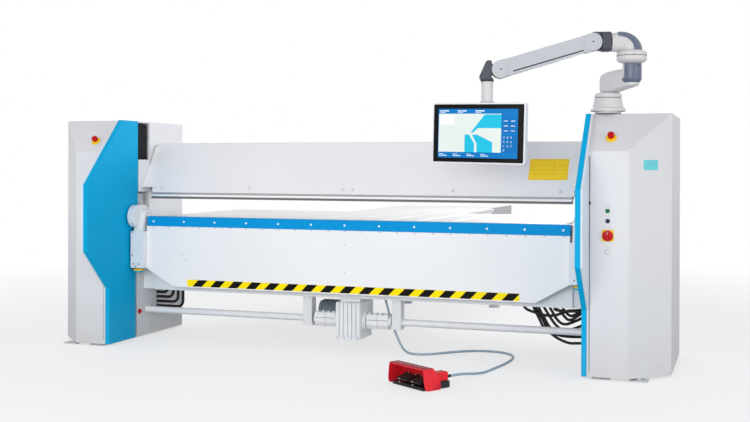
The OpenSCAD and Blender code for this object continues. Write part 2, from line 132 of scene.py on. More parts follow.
COVER_AIM = (0.0, -364 / 427.4, 224 / 427.4)


# The camera stands where the photograph was taken from

def place_camera():
    data = bpy.data.cameras.new("photo_view")
    data.sensor_width, data.lens = 36.0, 51.124
    data.shift_y = -0.0545
    data.clip_end = 200
    yaw, pitch, roll = (math.radians(a) for a in (19.347, 0.169, 0.170))
    right = Vector((math.cos(yaw), math.sin(yaw), 0))
    ahead = Vector((-math.sin(yaw), math.cos(yaw), 0))
    look = ahead * math.cos(pitch) - Vector((0, 0, math.sin(pitch)))
    top = Vector((0, 0, math.cos(pitch))) + ahead * math.sin(pitch)
    u = right * math.cos(roll) + top * math.sin(roll)
    v = top * math.cos(roll) - right * math.sin(roll)
    camera = bpy.data.objects.new("photo_view", data)
    camera.matrix_world = Matrix((
        (u.x, v.x, -look.x, 2.6244), (u.y, v.y, -look.y, -7.7691),
        (u.z, v.z, -look.z, 1.2849), (0, 0, 0, 1)))
    bpy.context.scene.collection.objects.link(camera)
    bpy.context.scene.camera = camera


# Finishes, each a small tree of nodes on the surface's own place

def rgb(r, g, b):
    """A colour read off a paint card in 0-255, made linear."""
    lin = [c / 255 / 12.92 if c <= 10 else ((c / 255 + 0.055) / 1.055) ** 2.4 for c in (r, g, b)]
    return (*lin, 1.0)


class Finish:
    """A material with a Principled shader, and the few textures that a finish needs."""

    def __init__(self, name, colour, rough, metal=0.0, **sockets):
        self.material = bpy.data.materials.new(name)
        self.material.use_nodes = True
        self.tree = self.material.node_tree
        self.shader = self.tree.nodes["Principled BSDF"]
        self.colour = colour
        self.set("Base Color", colour)
        self.set("Roughness", rough)
        self.set("Metallic", metal)
        for socket, value in sockets.items():
            self.set(socket.replace("_", " "), value)
        self.place = self.add("ShaderNodeTexCoord").outputs["Object"]

    def set(self, socket, value):
        self.shader.inputs[socket].default_value = value

    def add(self, kind, **settings):
        node = self.tree.nodes.new(kind)
        for key, value in settings.items():
            setattr(node, key, value)
        return node

    def join(self, source, socket):
        self.tree.links.new(source, socket)

    def stretched(self, scale):
        node = self.add("ShaderNodeMapping")
        node.inputs["Scale"].default_value = scale
        self.join(self.place, node.inputs["Vector"])
        return node.outputs["Vector"]

    def noise(self, scale, detail=3.0, along=(1, 1, 1)):
        node = self.add("ShaderNodeTexNoise")
        node.inputs["Scale"].default_value = scale
        node.inputs["Detail"].default_value = detail
        self.join(self.stretched(along), node.inputs["Vector"])
        return node.outputs["Fac"]

    def between(self, value, low, high, to_low, to_high):
        node = self.add("ShaderNodeMapRange")
        for i, number in enumerate((low, high, to_low, to_high)):
            node.inputs[i + 1].default_value = number
        self.join(value, node.inputs[0])
        return node.outputs[0]

    def times(self, a, b):
        node = self.add("ShaderNodeMath", operation="MULTIPLY")
        self.join(a, node.inputs[0])
        self.join(b, node.inputs[1])
        return node.outputs[0]

    def along(self, axis):
        node = self.add("ShaderNodeSeparateXYZ")
        self.join(self.place, node.inputs[0])
        return node.outputs[axis]

    def tint(self, factor, other):
        """Lays another colour over the base one where factor says."""
        node = self.add("ShaderNodeMix", data_type="RGBA")
        node.inputs[7].default_value = other
        base = self.shader.inputs["Base Color"]
        if base.is_linked:
            self.join(base.links[0].from_socket, node.inputs[6])
        else:
            node.inputs[6].default_value = self.colour
        self.join(factor, node.inputs[0])
        self.join(node.outputs[2], base)

    def roughen(self, factor, low, high):
        self.join(self.between(factor, 0.3, 0.7, low, high), self.shader.inputs["Roughness"])

    def bump(self, factor, strength, distance):
        node = self.add("ShaderNodeBump")
        node.inputs["Strength"].default_value = strength
        node.inputs["Distance"].default_value = distance
        self.join(factor, node.inputs["Height"])
        normal = self.shader.inputs["Normal"]
        if normal.is_linked:
            self.join(normal.links[0].from_socket, node.inputs["Normal"])
        self.join(node.outputs[0], normal)


def scaled(colour, k):
    return (*(c * k for c in colour[:3]), 1.0)


def powder_coat(name, colour, rough=0.42, peel=0.10, gloss=0.45, painted_light_bands=(), dust=0.5):
    """Baked powder paint: fine orange peel, faint clouding, shop dust near the floor, and any bands of painted shade or
    painted reflection that are given.
    """
    f = Finish(name, colour, rough, Specular_IOR_Level=gloss)
    f.tint(f.between(f.noise(1.7, 2), 0.35, 0.7, 0.0, 0.35), scaled(colour, 0.94))
    for axis, start, end, most, other in painted_light_bands:
        f.tint(f.between(f.along(axis), start, end, 0.0, most), other)
    grime = f.times(f.between(f.along("Z"), 0.0, 0.35, dust, 0.0),
                    f.between(f.noise(9, 5), 0.35, 0.75, 0.2, 1.0))
    f.tint(grime, scaled((0.62, 0.58, 0.53, 1), 0.9))
    f.roughen(f.noise(35, 3), rough - 0.05, rough + 0.06)
    f.bump(f.noise(620, 2), peel, 0.0006)
    return f.material


def ground_steel(name, colour, rough=0.28, run="x", metal=1.0):
    """Steel with the fine scratches of the grinding wheel along one way."""
    f = Finish(name, colour, rough, metal)
    along = {"x": (1, 60, 60), "y": (60, 1, 60), "z": (60, 60, 1)}[run]
    streak = f.noise(14, 6, along)
    f.roughen(streak, rough - 0.08, rough + 0.12)
    f.tint(f.between(streak, 0.3, 0.75, 0.0, 0.5), scaled(colour, 0.82))
    f.tint(f.between(f.noise(3, 4), 0.5, 0.8, 0.0, 0.35), scaled(colour, 0.75))
    f.bump(streak, 0.12, 0.0004)
    return f.material


def moulded(name, colour, rough=0.45, grain=900.0, depth=0.15, gloss=0.5, painted_light_bands=()):
    """Moulded plastic with a fine spark-eroded grain, and any bands of painted shade that are given."""
    f = Finish(name, colour, rough, Specular_IOR_Level=gloss)
    for axis, start, end, most, other in painted_light_bands:
        f.tint(f.between(f.along(axis), start, end, 0.0, most), other)
    f.tint(f.between(f.noise(12, 4), 0.4, 0.8, 0.0, 0.3), scaled(colour, 0.86))
    f.roughen(f.noise(60, 4), rough - 0.07, rough + 0.08)
    f.bump(f.noise(grain, 2), depth, 0.0004)
    return f.material


def rubber(name, colour, rough=0.62):
    f = Finish(name, colour, rough, Specular_IOR_Level=0.35)
    f.tint(f.between(f.noise(40, 5), 0.35, 0.8, 0.0, 0.5), scaled(colour, 1.6))
    f.bump(f.noise(500, 3), 0.2, 0.0005)
    return f.material


def cast_paint(name, colour):
    """Enamel over a sand casting: a soft pebbled skin."""
    f = Finish(name, colour, 0.42, Specular_IOR_Level=0.5)
    f.tint(f.between(f.noise(7, 4), 0.4, 0.75, 0.0, 0.4), scaled(colour, 0.88))
    f.roughen(f.noise(50, 4), 0.36, 0.5)
    f.bump(f.noise(190, 4), 0.35, 0.0011)
    return f.material


def lit(name, colour, glow=0.14):
    """A lit patch of the display behind its cover glass."""
    f = Finish(name, colour, 0.3, Emission_Color=colour, Emission_Strength=glow, Specular_IOR_Level=0.1)
    f.tint(f.between(f.noise(4, 1), 0.3, 0.7, 0.0, 0.18), scaled(colour, 0.8))
    return f.material


WHITE = powder_coat("white_powder_coat", rgb(227, 228, 231))
# Painted light on the towers: the flange beside the cheek is tinted with a painted reflection of its blue, and painted
# shade darkens the right tower, its outer bevel more, and both towers towards the top and towards the feet
TOWER_WHITE_PAINTED_LIGHT = powder_coat("tower_powder_coat_painted_light", rgb(227, 228, 231), 0.42, 0.1, 0.3, (
    ("Y", BACK / 1000 - 0.0005, BACK / 1000 - 0.002, 1.0, rgb(206, 233, 251)),
    ("X", 1.0, 1.3, 0.55, rgb(206, 206, 209)),
    ("X", 1.943, 1.96, 0.5, rgb(204, 204, 206)),
    ("Z", 1.1, 1.6, 0.6, rgb(207, 207, 211)),
    ("Z", 0.9, 0.2, 0.75, rgb(204, 206, 211))))
BEAM_WHITE = powder_coat("beam_powder_coat", rgb(236, 237, 239))
WARM_WHITE = powder_coat("cover_powder_coat", rgb(233, 231, 233), 0.40)
GREY = powder_coat("pale_grey_powder_coat", rgb(196, 199, 204), 0.45)
BLUE = powder_coat("blue_powder_coat", rgb(0, 164, 214), 0.5, 0.08, 0.08, dust=0.06)
RAIL_BLUE = powder_coat("rail_blue_enamel", rgb(0, 148, 214), 0.5, 0.08, 0.08)
CASTING = cast_paint("white_casting_enamel", rgb(228, 230, 233))
ARM_WHITE = cast_paint("arm_white_enamel", rgb(205, 203, 204))
BOOM_GREY = powder_coat("boom_anodised_grey", rgb(184, 187, 192), 0.38, 0.05)
STEEL = ground_steel("ground_tool_steel", (0.66, 0.67, 0.69, 1))
PLATE = ground_steel("table_plate_steel", (0.76, 0.765, 0.78, 1), 0.34, "y", 0.5)
CHROME = ground_steel("polished_tool_rail", (0.74, 0.75, 0.77, 1), 0.16)
ZINC = ground_steel("zinc_plated_screw", (0.62, 0.63, 0.65, 1), 0.3, "z")
DARK = moulded("dark_grey_plastic", rgb(62, 66, 78))
SLATE = moulded("slate_cap_plastic", rgb(92, 102, 122), 0.34)
BLACK = moulded("black_plastic", rgb(24, 24, 26), 0.42)
BEZEL = moulded("black_panel_glass", rgb(16, 14, 14), 0.2, 300, 0.01, 0.1)
# the top of the foot switch hood, above about 124 mm, carries a painted shade of darker red
RED = moulded("red_hood_plastic", rgb(228, 34, 48), 0.4, gloss=0.25, painted_light_bands=(
    ("Z", 0.1235, 0.1275, 0.85, rgb(128, 40, 50)),))
BUTTON_RED = moulded("red_button_plastic", rgb(186, 8, 20), 0.3, gloss=0.14)
YELLOW = moulded("yellow_ring_plastic", rgb(246, 204, 44), 0.4, gloss=0.2)
GREEN = moulded("green_button_plastic", rgb(10, 104, 66), 0.3, gloss=0.15)
NAVY = moulded("dark_blue_button_plastic", rgb(12, 44, 76), 0.3, gloss=0.15)
RUBBER = rubber("hose_rubber", rgb(26, 27, 29))
FOLDS = rubber("bellows_cloth_black", rgb(20, 20, 22), 0.5)
FOLDS_GREY = rubber("bellows_cloth_grey", rgb(196, 198, 198), 0.55)
CABLE = rubber("cable_sheath_grey", rgb(150, 170, 184), 0.45)
MOTOR = powder_coat("motor_grey_paint", rgb(116, 128, 140), 0.4)
TAPE_YELLOW = moulded("tape_yellow", rgb(255, 228, 0), 0.4, 1200, 0.04, 0.12)
TAPE_BLACK = moulded("tape_black", rgb(10, 9, 6), 0.45, 1200, 0.04, 0.12)
LABEL = moulded("plate_yellow", rgb(255, 213, 38), 0.4, 1200, 0.03, 0.3)
LABEL_RULE = moulded("plate_rule", rgb(226, 168, 30), 0.4, 1200, 0.03, 0.3)
LABEL_TEAL = moulded("plate_teal", rgb(96, 196, 206), 0.34, 1200, 0.03)
LABEL_PALE = moulded("plate_pale", rgb(206, 209, 212), 0.36, 1200, 0.03)
# Rail bolt heads: a plain near-white colour, a painted glint in place of the shading of their zinc
BOLT_PAINTED_GLINT = moulded("rail_bolt_zinc_painted_glint", rgb(222, 242, 248), 0.3)
SHADOW = moulded("shadow_gap", rgb(46, 48, 52), 0.7)
SEAL = moulded("door_seal_rubber", rgb(112, 134, 168), 0.6, gloss=0.2)
# The clamping tool's steel in three finishes: the holder grey as painted shadow under the cover, the blade darker steel
# with painted shade on it, and a near-white painted reflection on the slanted face between them
TOOL_PAINTED_SHADOW = ground_steel("tool_holder_painted_shadow", (0.42, 0.42, 0.43, 1), 0.4, "x", 0.6)
TOOL_DARK_WITH_PAINTED_SHADE = ground_steel("tool_blade_dark_with_painted_shade", (0.17, 0.155, 0.15, 1), 0.42, "x", 0.5)
TOOL_PAINTED_REFLECTION = ground_steel("tool_clamp_painted_reflection", (0.95, 0.95, 0.955, 1), 0.3, "x", 0.2)


# Mesh helpers

def soften(obj, width, turns=2, angle=32.0):
    """Rounds an object's sharp edges by width millimetres and keeps its flats flat."""
    if width > 0:
        bevel = obj.modifiers.new("edge_radius", "BEVEL")
        bevel.width = width / 1000
        bevel.segments = turns
        bevel.limit_method = "ANGLE"
        bevel.angle_limit = math.radians(angle)
        bevel.harden_normals = False
    normals = obj.modifiers.new("flat_faces", "WEIGHTED_NORMAL")
    normals.keep_sharp = True
    return settle(obj)


def settle(obj):
    """Makes what the modifiers give the object's own mesh."""
    graph = bpy.context.evaluated_depsgraph_get()
    mesh = bpy.data.meshes.new_from_object(obj.evaluated_get(graph))
    obj.modifiers.clear()
    old, obj.data = obj.data, mesh
    mesh.name = obj.name
    if old.users == 0:
        bpy.data.meshes.remove(old)
    return obj


def new_piece(name, mesh, finish, body, stands_for=()):
    obj = bpy.data.objects.new(name, mesh)
    bpy.context.scene.collection.objects.link(obj)
    if finish:
        mesh.materials.clear()
        mesh.materials.append(finish)
    if body:
        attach(obj, body)
    if stands_for:
        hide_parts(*stands_for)
    return obj


def mesh_of(name, points, faces, smooth=None):
    """A mesh from points in the machine's millimetres, its faces turned outwards."""
    mesh = bpy.data.meshes.new(name)
    bm = bmesh.new()
    verts = [bm.verts.new(at(*p)) for p in points]
    for face in faces:
        try:
            bm.faces.new([verts[i] for i in face])
        except ValueError:  # the same face is already there
            continue
    bmesh.ops.remove_doubles(bm, verts=bm.verts, dist=1e-6)
    bmesh.ops.recalc_face_normals(bm, faces=bm.faces)
    bm.to_mesh(mesh)
    bm.free()
    crisp(mesh, smooth)
    return mesh


def crisp(mesh, angle=35.0):
    """Smooth shading, with edges sharper than the angle left crisp."""
    mesh.shade_smooth()
    mesh.set_sharp_from_angle(angle=math.radians(angle or 35.0))


def rounded(node, width, finish, turns=2, angle=32.0, body=None):
    """The CAD solid with its real edge radii, standing for its node."""
    source = frame["nodes"][node]
    mesh = source.data.copy()
    bm = bmesh.new()
    bm.from_mesh(mesh)
    bmesh.ops.remove_doubles(bm, verts=bm.verts, dist=2e-6)
    bmesh.ops.dissolve_limit(bm, angle_limit=math.radians(0.6), verts=bm.verts, edges=bm.edges)
    bm.to_mesh(mesh)
    bm.free()
    crisp(mesh, 30)
    piece = new_piece(node + "_finished", mesh, finish, body or source["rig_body"], (node,))
    return soften(piece, width, turns, angle)


def circle(radius, sides, start=0.0):
    return [(radius * math.cos(start + 2 * math.pi * k / sides),
             radius * math.sin(start + 2 * math.pi * k / sides)) for k in range(sides)]


def basis(axis):
    """Two directions square to an axis."""
    n = Vector(axis).normalized()
    side = Vector((0, 0, 1)) if abs(n.z) < 0.9 else Vector((1, 0, 0))
    u = side.cross(n).normalized()
    return u, n.cross(u), n


def lathe(profile, origin, axis=(0, 0, 1), sides=40, through=lambda p: p):
    """Points and faces of a turned part. profile is (radius, height) from foot to head."""
    u, v, n = basis(axis)
    o = Vector(origin)
    points, rings = [], []
    for r, h in profile:
        if r <= 1e-6:
            rings.append([len(points)])
            points.append(through(tuple(o + n * h)))
            continue
        rings.append(list(range(len(points), len(points) + sides)))
        points += [through(tuple(o + n * h + u * a + v * b)) for a, b in circle(r, sides)]
    faces = []
    for low, high in zip(rings, rings[1:]):
        for k in range(sides):
            j = (k + 1) % sides
            if len(low) == 1 and len(high) == 1:
                continue
            if len(low) == 1:
                faces.append((low[0], high[j], high[k]))
            elif len(high) == 1:
                faces.append((low[k], low[j], high[0]))
            else:
                faces.append((low[k], low[j], high[j], high[k]))
    for ring, first in ((rings[0], True), (rings[-1], False)):
        if len(ring) > 1:
            faces.append(tuple(reversed(ring)) if first else tuple(ring))
    return points, faces


def prism(outline, low, high, place):
    """An outline of (a, b) pairs carried from low to high. place(a, b, h) gives the point."""
    n = len(outline)
    points = [place(a, b, low) for a, b in outline] + [place(a, b, high) for a, b in outline]
    faces = [tuple(range(n)), tuple(range(2 * n - 1, n - 1, -1))]
    faces += [(k, k + n, (k + 1) % n + n, (k + 1) % n) for k in range(n)]
    return points, faces


def round_corners(corners, radius, steps=5):
    """A closed outline with its corners rounded."""
    out = []
    n = len(corners)
    for i, c in enumerate(corners):
        c = Vector(c)
        a = (Vector(corners[i - 1]) - c).normalized()
        b = (Vector(corners[(i + 1) % n]) - c).normalized()
        half = math.acos(max(-1, min(1, a.dot(b)))) / 2
        cut = min(radius / math.tan(half), 0.49 * min(
            (Vector(corners[i - 1]) - c).length, (Vector(corners[(i + 1) % n]) - c).length))
        r = cut * math.tan(half)
        middle = c + (a + b).normalized() * (r / math.sin(half))
        p, q = c + a * cut - middle, c + b * cut - middle
        swing = p.angle_signed(q) if p.length > 1e-9 else 0
        for k in range(steps + 1):
            t = -swing * k / steps
            out.append((middle.x + p.x * math.cos(t) - p.y * math.sin(t),
                        middle.y + p.x * math.sin(t) + p.y * math.cos(t)))
    return out


def block(low, high):
    """Points and faces of a box between two corners."""
    return prism([(low[0], low[1]), (high[0], low[1]), (high[0], high[1]), (low[0], high[1])],
                 low[2], high[2], lambda a, b, h: (a, b, h))


def merged(*parts):
    """Several (points, faces) as one."""
    points, faces = [], []
    for p, f in parts:
        faces += [tuple(i + len(points) for i in face) for face in f]
        points += p
    return points, faces


def moved(part, place):
    return [place(p) for p in part[0]], part[1]


def made(name, part, finish, body, edge=0.0, turns=2, stands_for=(), angle=32.0, smooth=35.0):
    """A piece from points and faces, with its edges rounded by edge millimetres."""
    piece = new_piece(name, mesh_of(name, *part, smooth), finish, body, stands_for)
    return soften(piece, edge, turns, angle)


def smooth_path(points, per_leg):
    """The rounded line through some points, as the CAD source draws it."""
    n = len(points)
    pts = [Vector(p) for p in points]
    out = []
    for i in range(per_leg * (n - 1) + 1):
        t = i / per_leg
        k = min(int(t), n - 2)
        f = t - k
        a, b, c, d = pts[max(k - 1, 0)], pts[k], pts[k + 1], pts[min(k + 2, n - 1)]
        out.append(0.5 * (2 * b + (c - a) * f + (2 * a - 5 * b + 4 * c - d) * f * f
                          + (3 * b - a - 3 * c + d) * f ** 3))
    return out


def swept(path, radii, sides=20, flat=1.0, up=(0, 0, 1)):
    """Points and faces of a tube along a path. flat squeezes it across the up way."""
    path = [Vector(p) for p in path]
    w = Vector(up)
    points, faces = [], []
    for i, p in enumerate(path):
        t = (path[min(i + 1, len(path) - 1)] - path[max(i - 1, 0)]).normalized()
        w = (w - t * w.dot(t)).normalized()
        x = t.cross(w)
        r = radii[i] if isinstance(radii, (list, tuple)) else radii
        points += [tuple(p + w * a + x * (b * flat)) for a, b in circle(r, sides)]
    for i in range(len(path) - 1):
        for k in range(sides):
            j = (k + 1) % sides
            faces.append((i * sides + k, i * sides + j, (i + 1) * sides + j, (i + 1) * sides + k))
    faces.append(tuple(range(sides - 1, -1, -1)))
    faces.append(tuple(range((len(path) - 1) * sides, len(path) * sides)))
    return points, faces


# Geometry Nodes trees, for what repeats

class Tree:
    """A node tree with named sizes, for one kind of repeated part."""

    def __init__(self, name, sizes):
        self.tree = bpy.data.node_groups.new(name, "GeometryNodeTree")
        face = self.tree.interface
        face.new_socket("Geometry", in_out="INPUT", socket_type="NodeSocketGeometry")
        for label, (kind, value) in sizes.items():
            socket = face.new_socket(label, in_out="INPUT", socket_type="NodeSocket" + kind)
            if value is not None:
                socket.default_value = value
        face.new_socket("Geometry", in_out="OUTPUT", socket_type="NodeSocketGeometry")
        self.given = self.add("NodeGroupInput").outputs
        self.result = self.add("NodeGroupOutput").inputs["Geometry"]

    def add(self, kind, inputs=None, **settings):
        node = self.tree.nodes.new(kind)
        for key, value in settings.items():
            setattr(node, key, value)
        for key, value in (inputs or {}).items():
            socket = node.inputs[key]
            if isinstance(value, bpy.types.NodeSocket):
                self.tree.links.new(value, socket)
            else:
                socket.default_value = value
        return node

    def sum(self, a, b, operation="ADD"):
        return self.add("ShaderNodeMath", {0: a, 1: b}, operation=operation).outputs[0]

    def vector(self, x=0.0, y=0.0, z=0.0):
        return self.add("ShaderNodeCombineXYZ", {0: x, 1: y, 2: z}).outputs[0]

    def end(self, geometry):
        real = self.add("GeometryNodeRealizeInstances", {0: geometry})
        painted = self.add("GeometryNodeSetMaterial", {0: real.outputs[0], "Material": self.given["Finish"]})
        self.tree.links.new(painted.outputs[0], self.result)
        return self.tree


FINISH = ("Material", None)


def fastener_tree():
    """Heads of screws on points. Each point has an aim and a size; Recess is the socket's width."""
    t = Tree("fastener_heads", {
        "Head radius": ("Float", 0.008), "Head height": ("Float", 0.006), "Sides": ("Int", 16),
        "Recess": ("Float", 0.55), "Finish": FINISH})
    r, h = t.given["Head radius"], t.given["Head height"]
    body = t.add("GeometryNodeMeshCylinder", {"Vertices": t.given["Sides"], "Radius": r, "Depth": h})
    lifted = t.add("GeometryNodeTransform", {
        "Geometry": body.outputs["Mesh"], "Translation": t.vector(z=t.sum(h, 0.5, "MULTIPLY"))})
    rim = t.add("GeometryNodeExtrudeMesh", {
        "Mesh": lifted.outputs[0], "Selection": body.outputs["Top"],
        "Offset Scale": t.sum(h, 0.22, "MULTIPLY"), "Individual": False})
    worn = t.add("GeometryNodeScaleElements", {
        "Geometry": rim.outputs["Mesh"], "Selection": rim.outputs["Top"], "Scale": 0.84})
    lip = t.add("GeometryNodeExtrudeMesh", {
        "Mesh": worn.outputs[0], "Selection": rim.outputs["Top"], "Offset Scale": 0.0, "Individual": False})
    hole = t.add("GeometryNodeScaleElements", {
        "Geometry": lip.outputs["Mesh"], "Selection": lip.outputs["Top"], "Scale": t.given["Recess"]})
    sunk = t.add("GeometryNodeExtrudeMesh", {
        "Mesh": hole.outputs[0], "Selection": lip.outputs["Top"],
        "Offset Scale": t.sum(h, -0.7, "MULTIPLY"), "Individual": False})
    aim = t.add("GeometryNodeInputNamedAttribute", {"Name": "aim"}, data_type="FLOAT_VECTOR")
    size = t.add("GeometryNodeInputNamedAttribute", {"Name": "size"}, data_type="FLOAT")
    turn = t.add("FunctionNodeAlignRotationToVector", {"Vector": aim.outputs[0]}, axis="Z")
    spread = t.add("GeometryNodeInstanceOnPoints", {
        "Points": t.given["Geometry"], "Instance": sunk.outputs["Mesh"],
        "Rotation": turn.outputs[0], "Scale": size.outputs[0]})
    return t.end(spread.outputs[0])


def stripe_tree():
    """Slanted bars in a row along x, as on hazard tape. Lean is their shift from foot to head."""
    t = Tree("slanted_bars", {
        "Count": ("Int", 17), "Pitch": ("Float", 0.14), "Bar": ("Float", 0.07), "Tall": ("Float", 0.049),
        "Lean": ("Float", 0.049), "Thick": ("Float", 0.0006), "Finish": FINISH})
    bar = t.add("GeometryNodeMeshCube", {"Size": t.vector(t.given["Bar"], t.given["Thick"], t.given["Tall"])})
    spot = t.add("ShaderNodeSeparateXYZ", {0: t.add("GeometryNodeInputPosition").outputs[0]})
    share = t.sum(spot.outputs["Z"], t.given["Tall"], "DIVIDE")
    lean = t.add("GeometryNodeSetPosition", {
        "Geometry": bar.outputs["Mesh"], "Offset": t.vector(x=t.sum(share, t.given["Lean"], "MULTIPLY"))})
    row = t.add("GeometryNodeMeshLine", {"Count": t.given["Count"], "Offset": t.vector(x=t.given["Pitch"])})
    spread = t.add("GeometryNodeInstanceOnPoints", {"Points": row.outputs[0], "Instance": lean.outputs[0]})
    held = t.add("GeometryNodeSetPosition", {"Geometry": spread.outputs[0], "Offset": start_of(t)})
    return t.end(held.outputs[0])


def start_of(t):
    """The place of the tree's own first vertex, which carries the run's start."""
    first = t.add("GeometryNodeSampleIndex", {
        "Geometry": t.given["Geometry"], "Value": t.add("GeometryNodeInputPosition").outputs[0]},
        data_type="FLOAT_VECTOR", domain="POINT")
    return first.outputs[0]


def pleat_tree():
    """Bellows: one fold swept round a rounded oblong, stacked along z."""
    t = Tree("bellows_folds", {
        "Width": ("Float", 0.03), "Depth": ("Float", 0.14), "Folds": ("Int", 20), "Pitch": ("Float", 0.012),
        "Fold depth": ("Float", 0.006), "Corner": ("Float", 0.008), "Finish": FINISH})
    oblong = t.add("GeometryNodeCurvePrimitiveQuadrilateral", {
        "Width": t.given["Width"], "Height": t.given["Depth"]})
    track = t.add("GeometryNodeFilletCurve", {
        "Curve": oblong.outputs[0], "Radius": t.given["Corner"], "Count": 3}, mode="POLY")
    out, up = t.given["Fold depth"], t.given["Pitch"]
    low = t.add("GeometryNodeCurvePrimitiveLine", {"Start": (0, 0, 0), "End": t.vector(out, t.sum(up, 0.5, "MULTIPLY"))})
    high = t.add("GeometryNodeCurvePrimitiveLine", {
        "Start": t.vector(out, t.sum(up, 0.5, "MULTIPLY")), "End": t.vector(0.0, up)})
    lower = t.add("GeometryNodeCurveToMesh", {"Curve": track.outputs[0], "Profile Curve": low.outputs[0]})
    upper = t.add("GeometryNodeCurveToMesh", {"Curve": track.outputs[0], "Profile Curve": high.outputs[0]})
    fold = t.add("GeometryNodeJoinGeometry")
    t.tree.links.new(lower.outputs[0], fold.inputs[0])
    t.tree.links.new(upper.outputs[0], fold.inputs[0])
    row = t.add("GeometryNodeMeshLine", {"Count": t.given["Folds"], "Offset": t.vector(z=up)})
    spread = t.add("GeometryNodeInstanceOnPoints", {"Points": row.outputs[0], "Instance": fold.outputs[0]})
    held = t.add("GeometryNodeSetPosition", {"Geometry": spread.outputs[0], "Offset": start_of(t)})
    return t.end(held.outputs[0])


def ring_tree():
    """Bars set round an axis, as a knurl or the lugs of a knob. The first vertex is the middle."""
    t = Tree("bars_round_axis", {
        "Radius": ("Float", 0.035), "Bars": ("Int", 30), "Bar width": ("Float", 0.003),
        "Bar depth": ("Float", 0.002), "Bar height": ("Float", 0.01), "Turn": ("Rotation", None),
        "Finish": FINISH})
    hoop = t.add("GeometryNodeMeshCircle", {"Vertices": t.given["Bars"], "Radius": t.given["Radius"]})
    bar = t.add("GeometryNodeMeshCube", {
        "Size": t.vector(t.given["Bar height"], t.given["Bar width"], t.given["Bar depth"])})
    aim = t.add("FunctionNodeAlignRotationToVector", {
        "Vector": t.add("GeometryNodeInputPosition").outputs[0]}, axis="Z")
    spread = t.add("GeometryNodeInstanceOnPoints", {
        "Points": hoop.outputs[0], "Instance": bar.outputs["Mesh"], "Rotation": aim.outputs[0]})
    turned = t.add("GeometryNodeTransform", {
        "Geometry": spread.outputs[0], "Translation": start_of(t), "Rotation": t.given["Turn"]})
    return t.end(turned.outputs[0])


TREES = {"fasteners": fastener_tree(), "stripes": stripe_tree(), "pleats": pleat_tree(), "ring": ring_tree()}


def grown(name, tree, points, sizes, body, stands_for=(), attributes=None):
    """Runs a tree on some points and keeps the plain mesh that it makes."""
    mesh = bpy.data.meshes.new(name)
    mesh.from_pydata([at(*p) for p in points], [], [])
    for key, (kind, values) in (attributes or {}).items():
        layer = mesh.attributes.new(key, kind, "POINT")
        for item, value in zip(layer.data, values):
            if kind == "FLOAT_VECTOR":
                item.vector = value
            else:
                item.value = value
    obj = bpy.data.objects.new(name, mesh)
    bpy.context.scene.collection.objects.link(obj)
    maker = obj.modifiers.new(tree, "NODES")
    maker.node_group = TREES[tree]
    named = {s.name: s.identifier for s in TREES[tree].interface.items_tree if s.in_out == "INPUT"}
    for label, value in sizes.items():
        maker[named[label]] = value
    settle(obj)
    bm = bmesh.new()
    bm.from_mesh(obj.data)
    bmesh.ops.remove_doubles(bm, verts=bm.verts, dist=1e-7)
    bm.to_mesh(obj.data)
    bm.free()
    crisp(obj.data, 38)
    if body:
        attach(obj, body)
    if stands_for:
        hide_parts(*stands_for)
    return obj


def fasteners(name, spots, radius, height, body, finish=None, sides=16, recess=0.55):
    """Screw heads at spots, each (x, y, z, aim) or with a size after it."""
    return grown(name, "fasteners", [s[:3] for s in spots], {
        "Head radius": radius / 1000, "Head height": height / 1000, "Sides": sides,
        "Recess": recess, "Finish": finish or ZINC}, body, attributes={
            "aim": ("FLOAT_VECTOR", [s[3] for s in spots]),
            "size": ("FLOAT", [s[4] if len(s) > 4 else 1.0 for s in spots])})


# The foot switch cable comes first: a free cord from the switch to the lower beam

def add_cable():
    route = [on_switch((SWITCH_W - 35, SWITCH_D + 86.5, 58)), on_switch((SWITCH_W - 35, SWITCH_D + 115, 58)),
             (985, -432, 57), (1002, -372, 52), (1022, -282, 40), (1050, -166, 22), (1078, -40, 10),
             (1104, 100, 9), (1128, 240, 9), (1142, 380, 9), (1140, 500, 9), (1108, 612, 9), (1030, 686, 9),
             (920, 708, 9), (820, 684, 9), (730, 620, 9), (650, 535, 9), (575, 458, 9), (502, 425, 9),
             (430, 446, 10), (374, 504, 22), (332, 548, 56), (298, 572, 108), (270, 580, 166),
             (248, 582, 226), (230, 582, 290), (216, 582, 338), (211, 582, 366.5)]
    path = smooth_path(route, 5)
    line = [at(*p) for p in path]
    curve = bpy.data.curves.new("footswitch_cable_sheath", "CURVE")
    curve.dimensions = "3D"
    curve.bevel_depth, curve.bevel_resolution, curve.use_fill_caps = CABLE_D / 2000, 5, True
    spline = curve.splines.new("POLY")
    spline.points.add(len(line) - 1)
    for point, p in zip(spline.points, line):
        point.co = (*p, 1)
    spline.use_smooth = True
    curve.materials.append(CABLE)
    cable = bpy.data.objects.new("footswitch_cable_sheath", curve)
    bpy.context.scene.collection.objects.link(cable)
    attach(cable, "machine")
    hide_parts("footswitch_cable")
    heading = path[1] - path[0]
    relief = [(11.5, -3), (11.5, 3), (10.6, 5), (10.6, 8), (11.2, 9), (10.4, 16), (9.9, 17), (10.2, 23),
              (9.4, 24), (9.6, 30), (8.9, 31), (8.9, 37), (8.1, 39)]
    sleeve = made("footswitch_strain_relief", lathe(relief, path[0], heading, 24), BLACK,
                  "machine", 0.3, 1)
    gland = made("beam_cable_gland", merged(
        lathe([(16, 0.2), (16, -9), (13, -11), (11, -20), (8.2, -22)], (211, 582, 369), (0, 0, 1), 6),
        lathe([(20, 0), (20, -3), (12, -3)], (211, 582, 369), (0, 0, 1), 24)), BLACK,
        "machine", 0.5, 1)


# Towers and what is on them

FRONT, UP = (0, -1, 0), (0, 0, 1)
SLANT = (0, -0.7071, 0.7071)
PANEL_X = INNER + 157  # the column of switches on the right tower


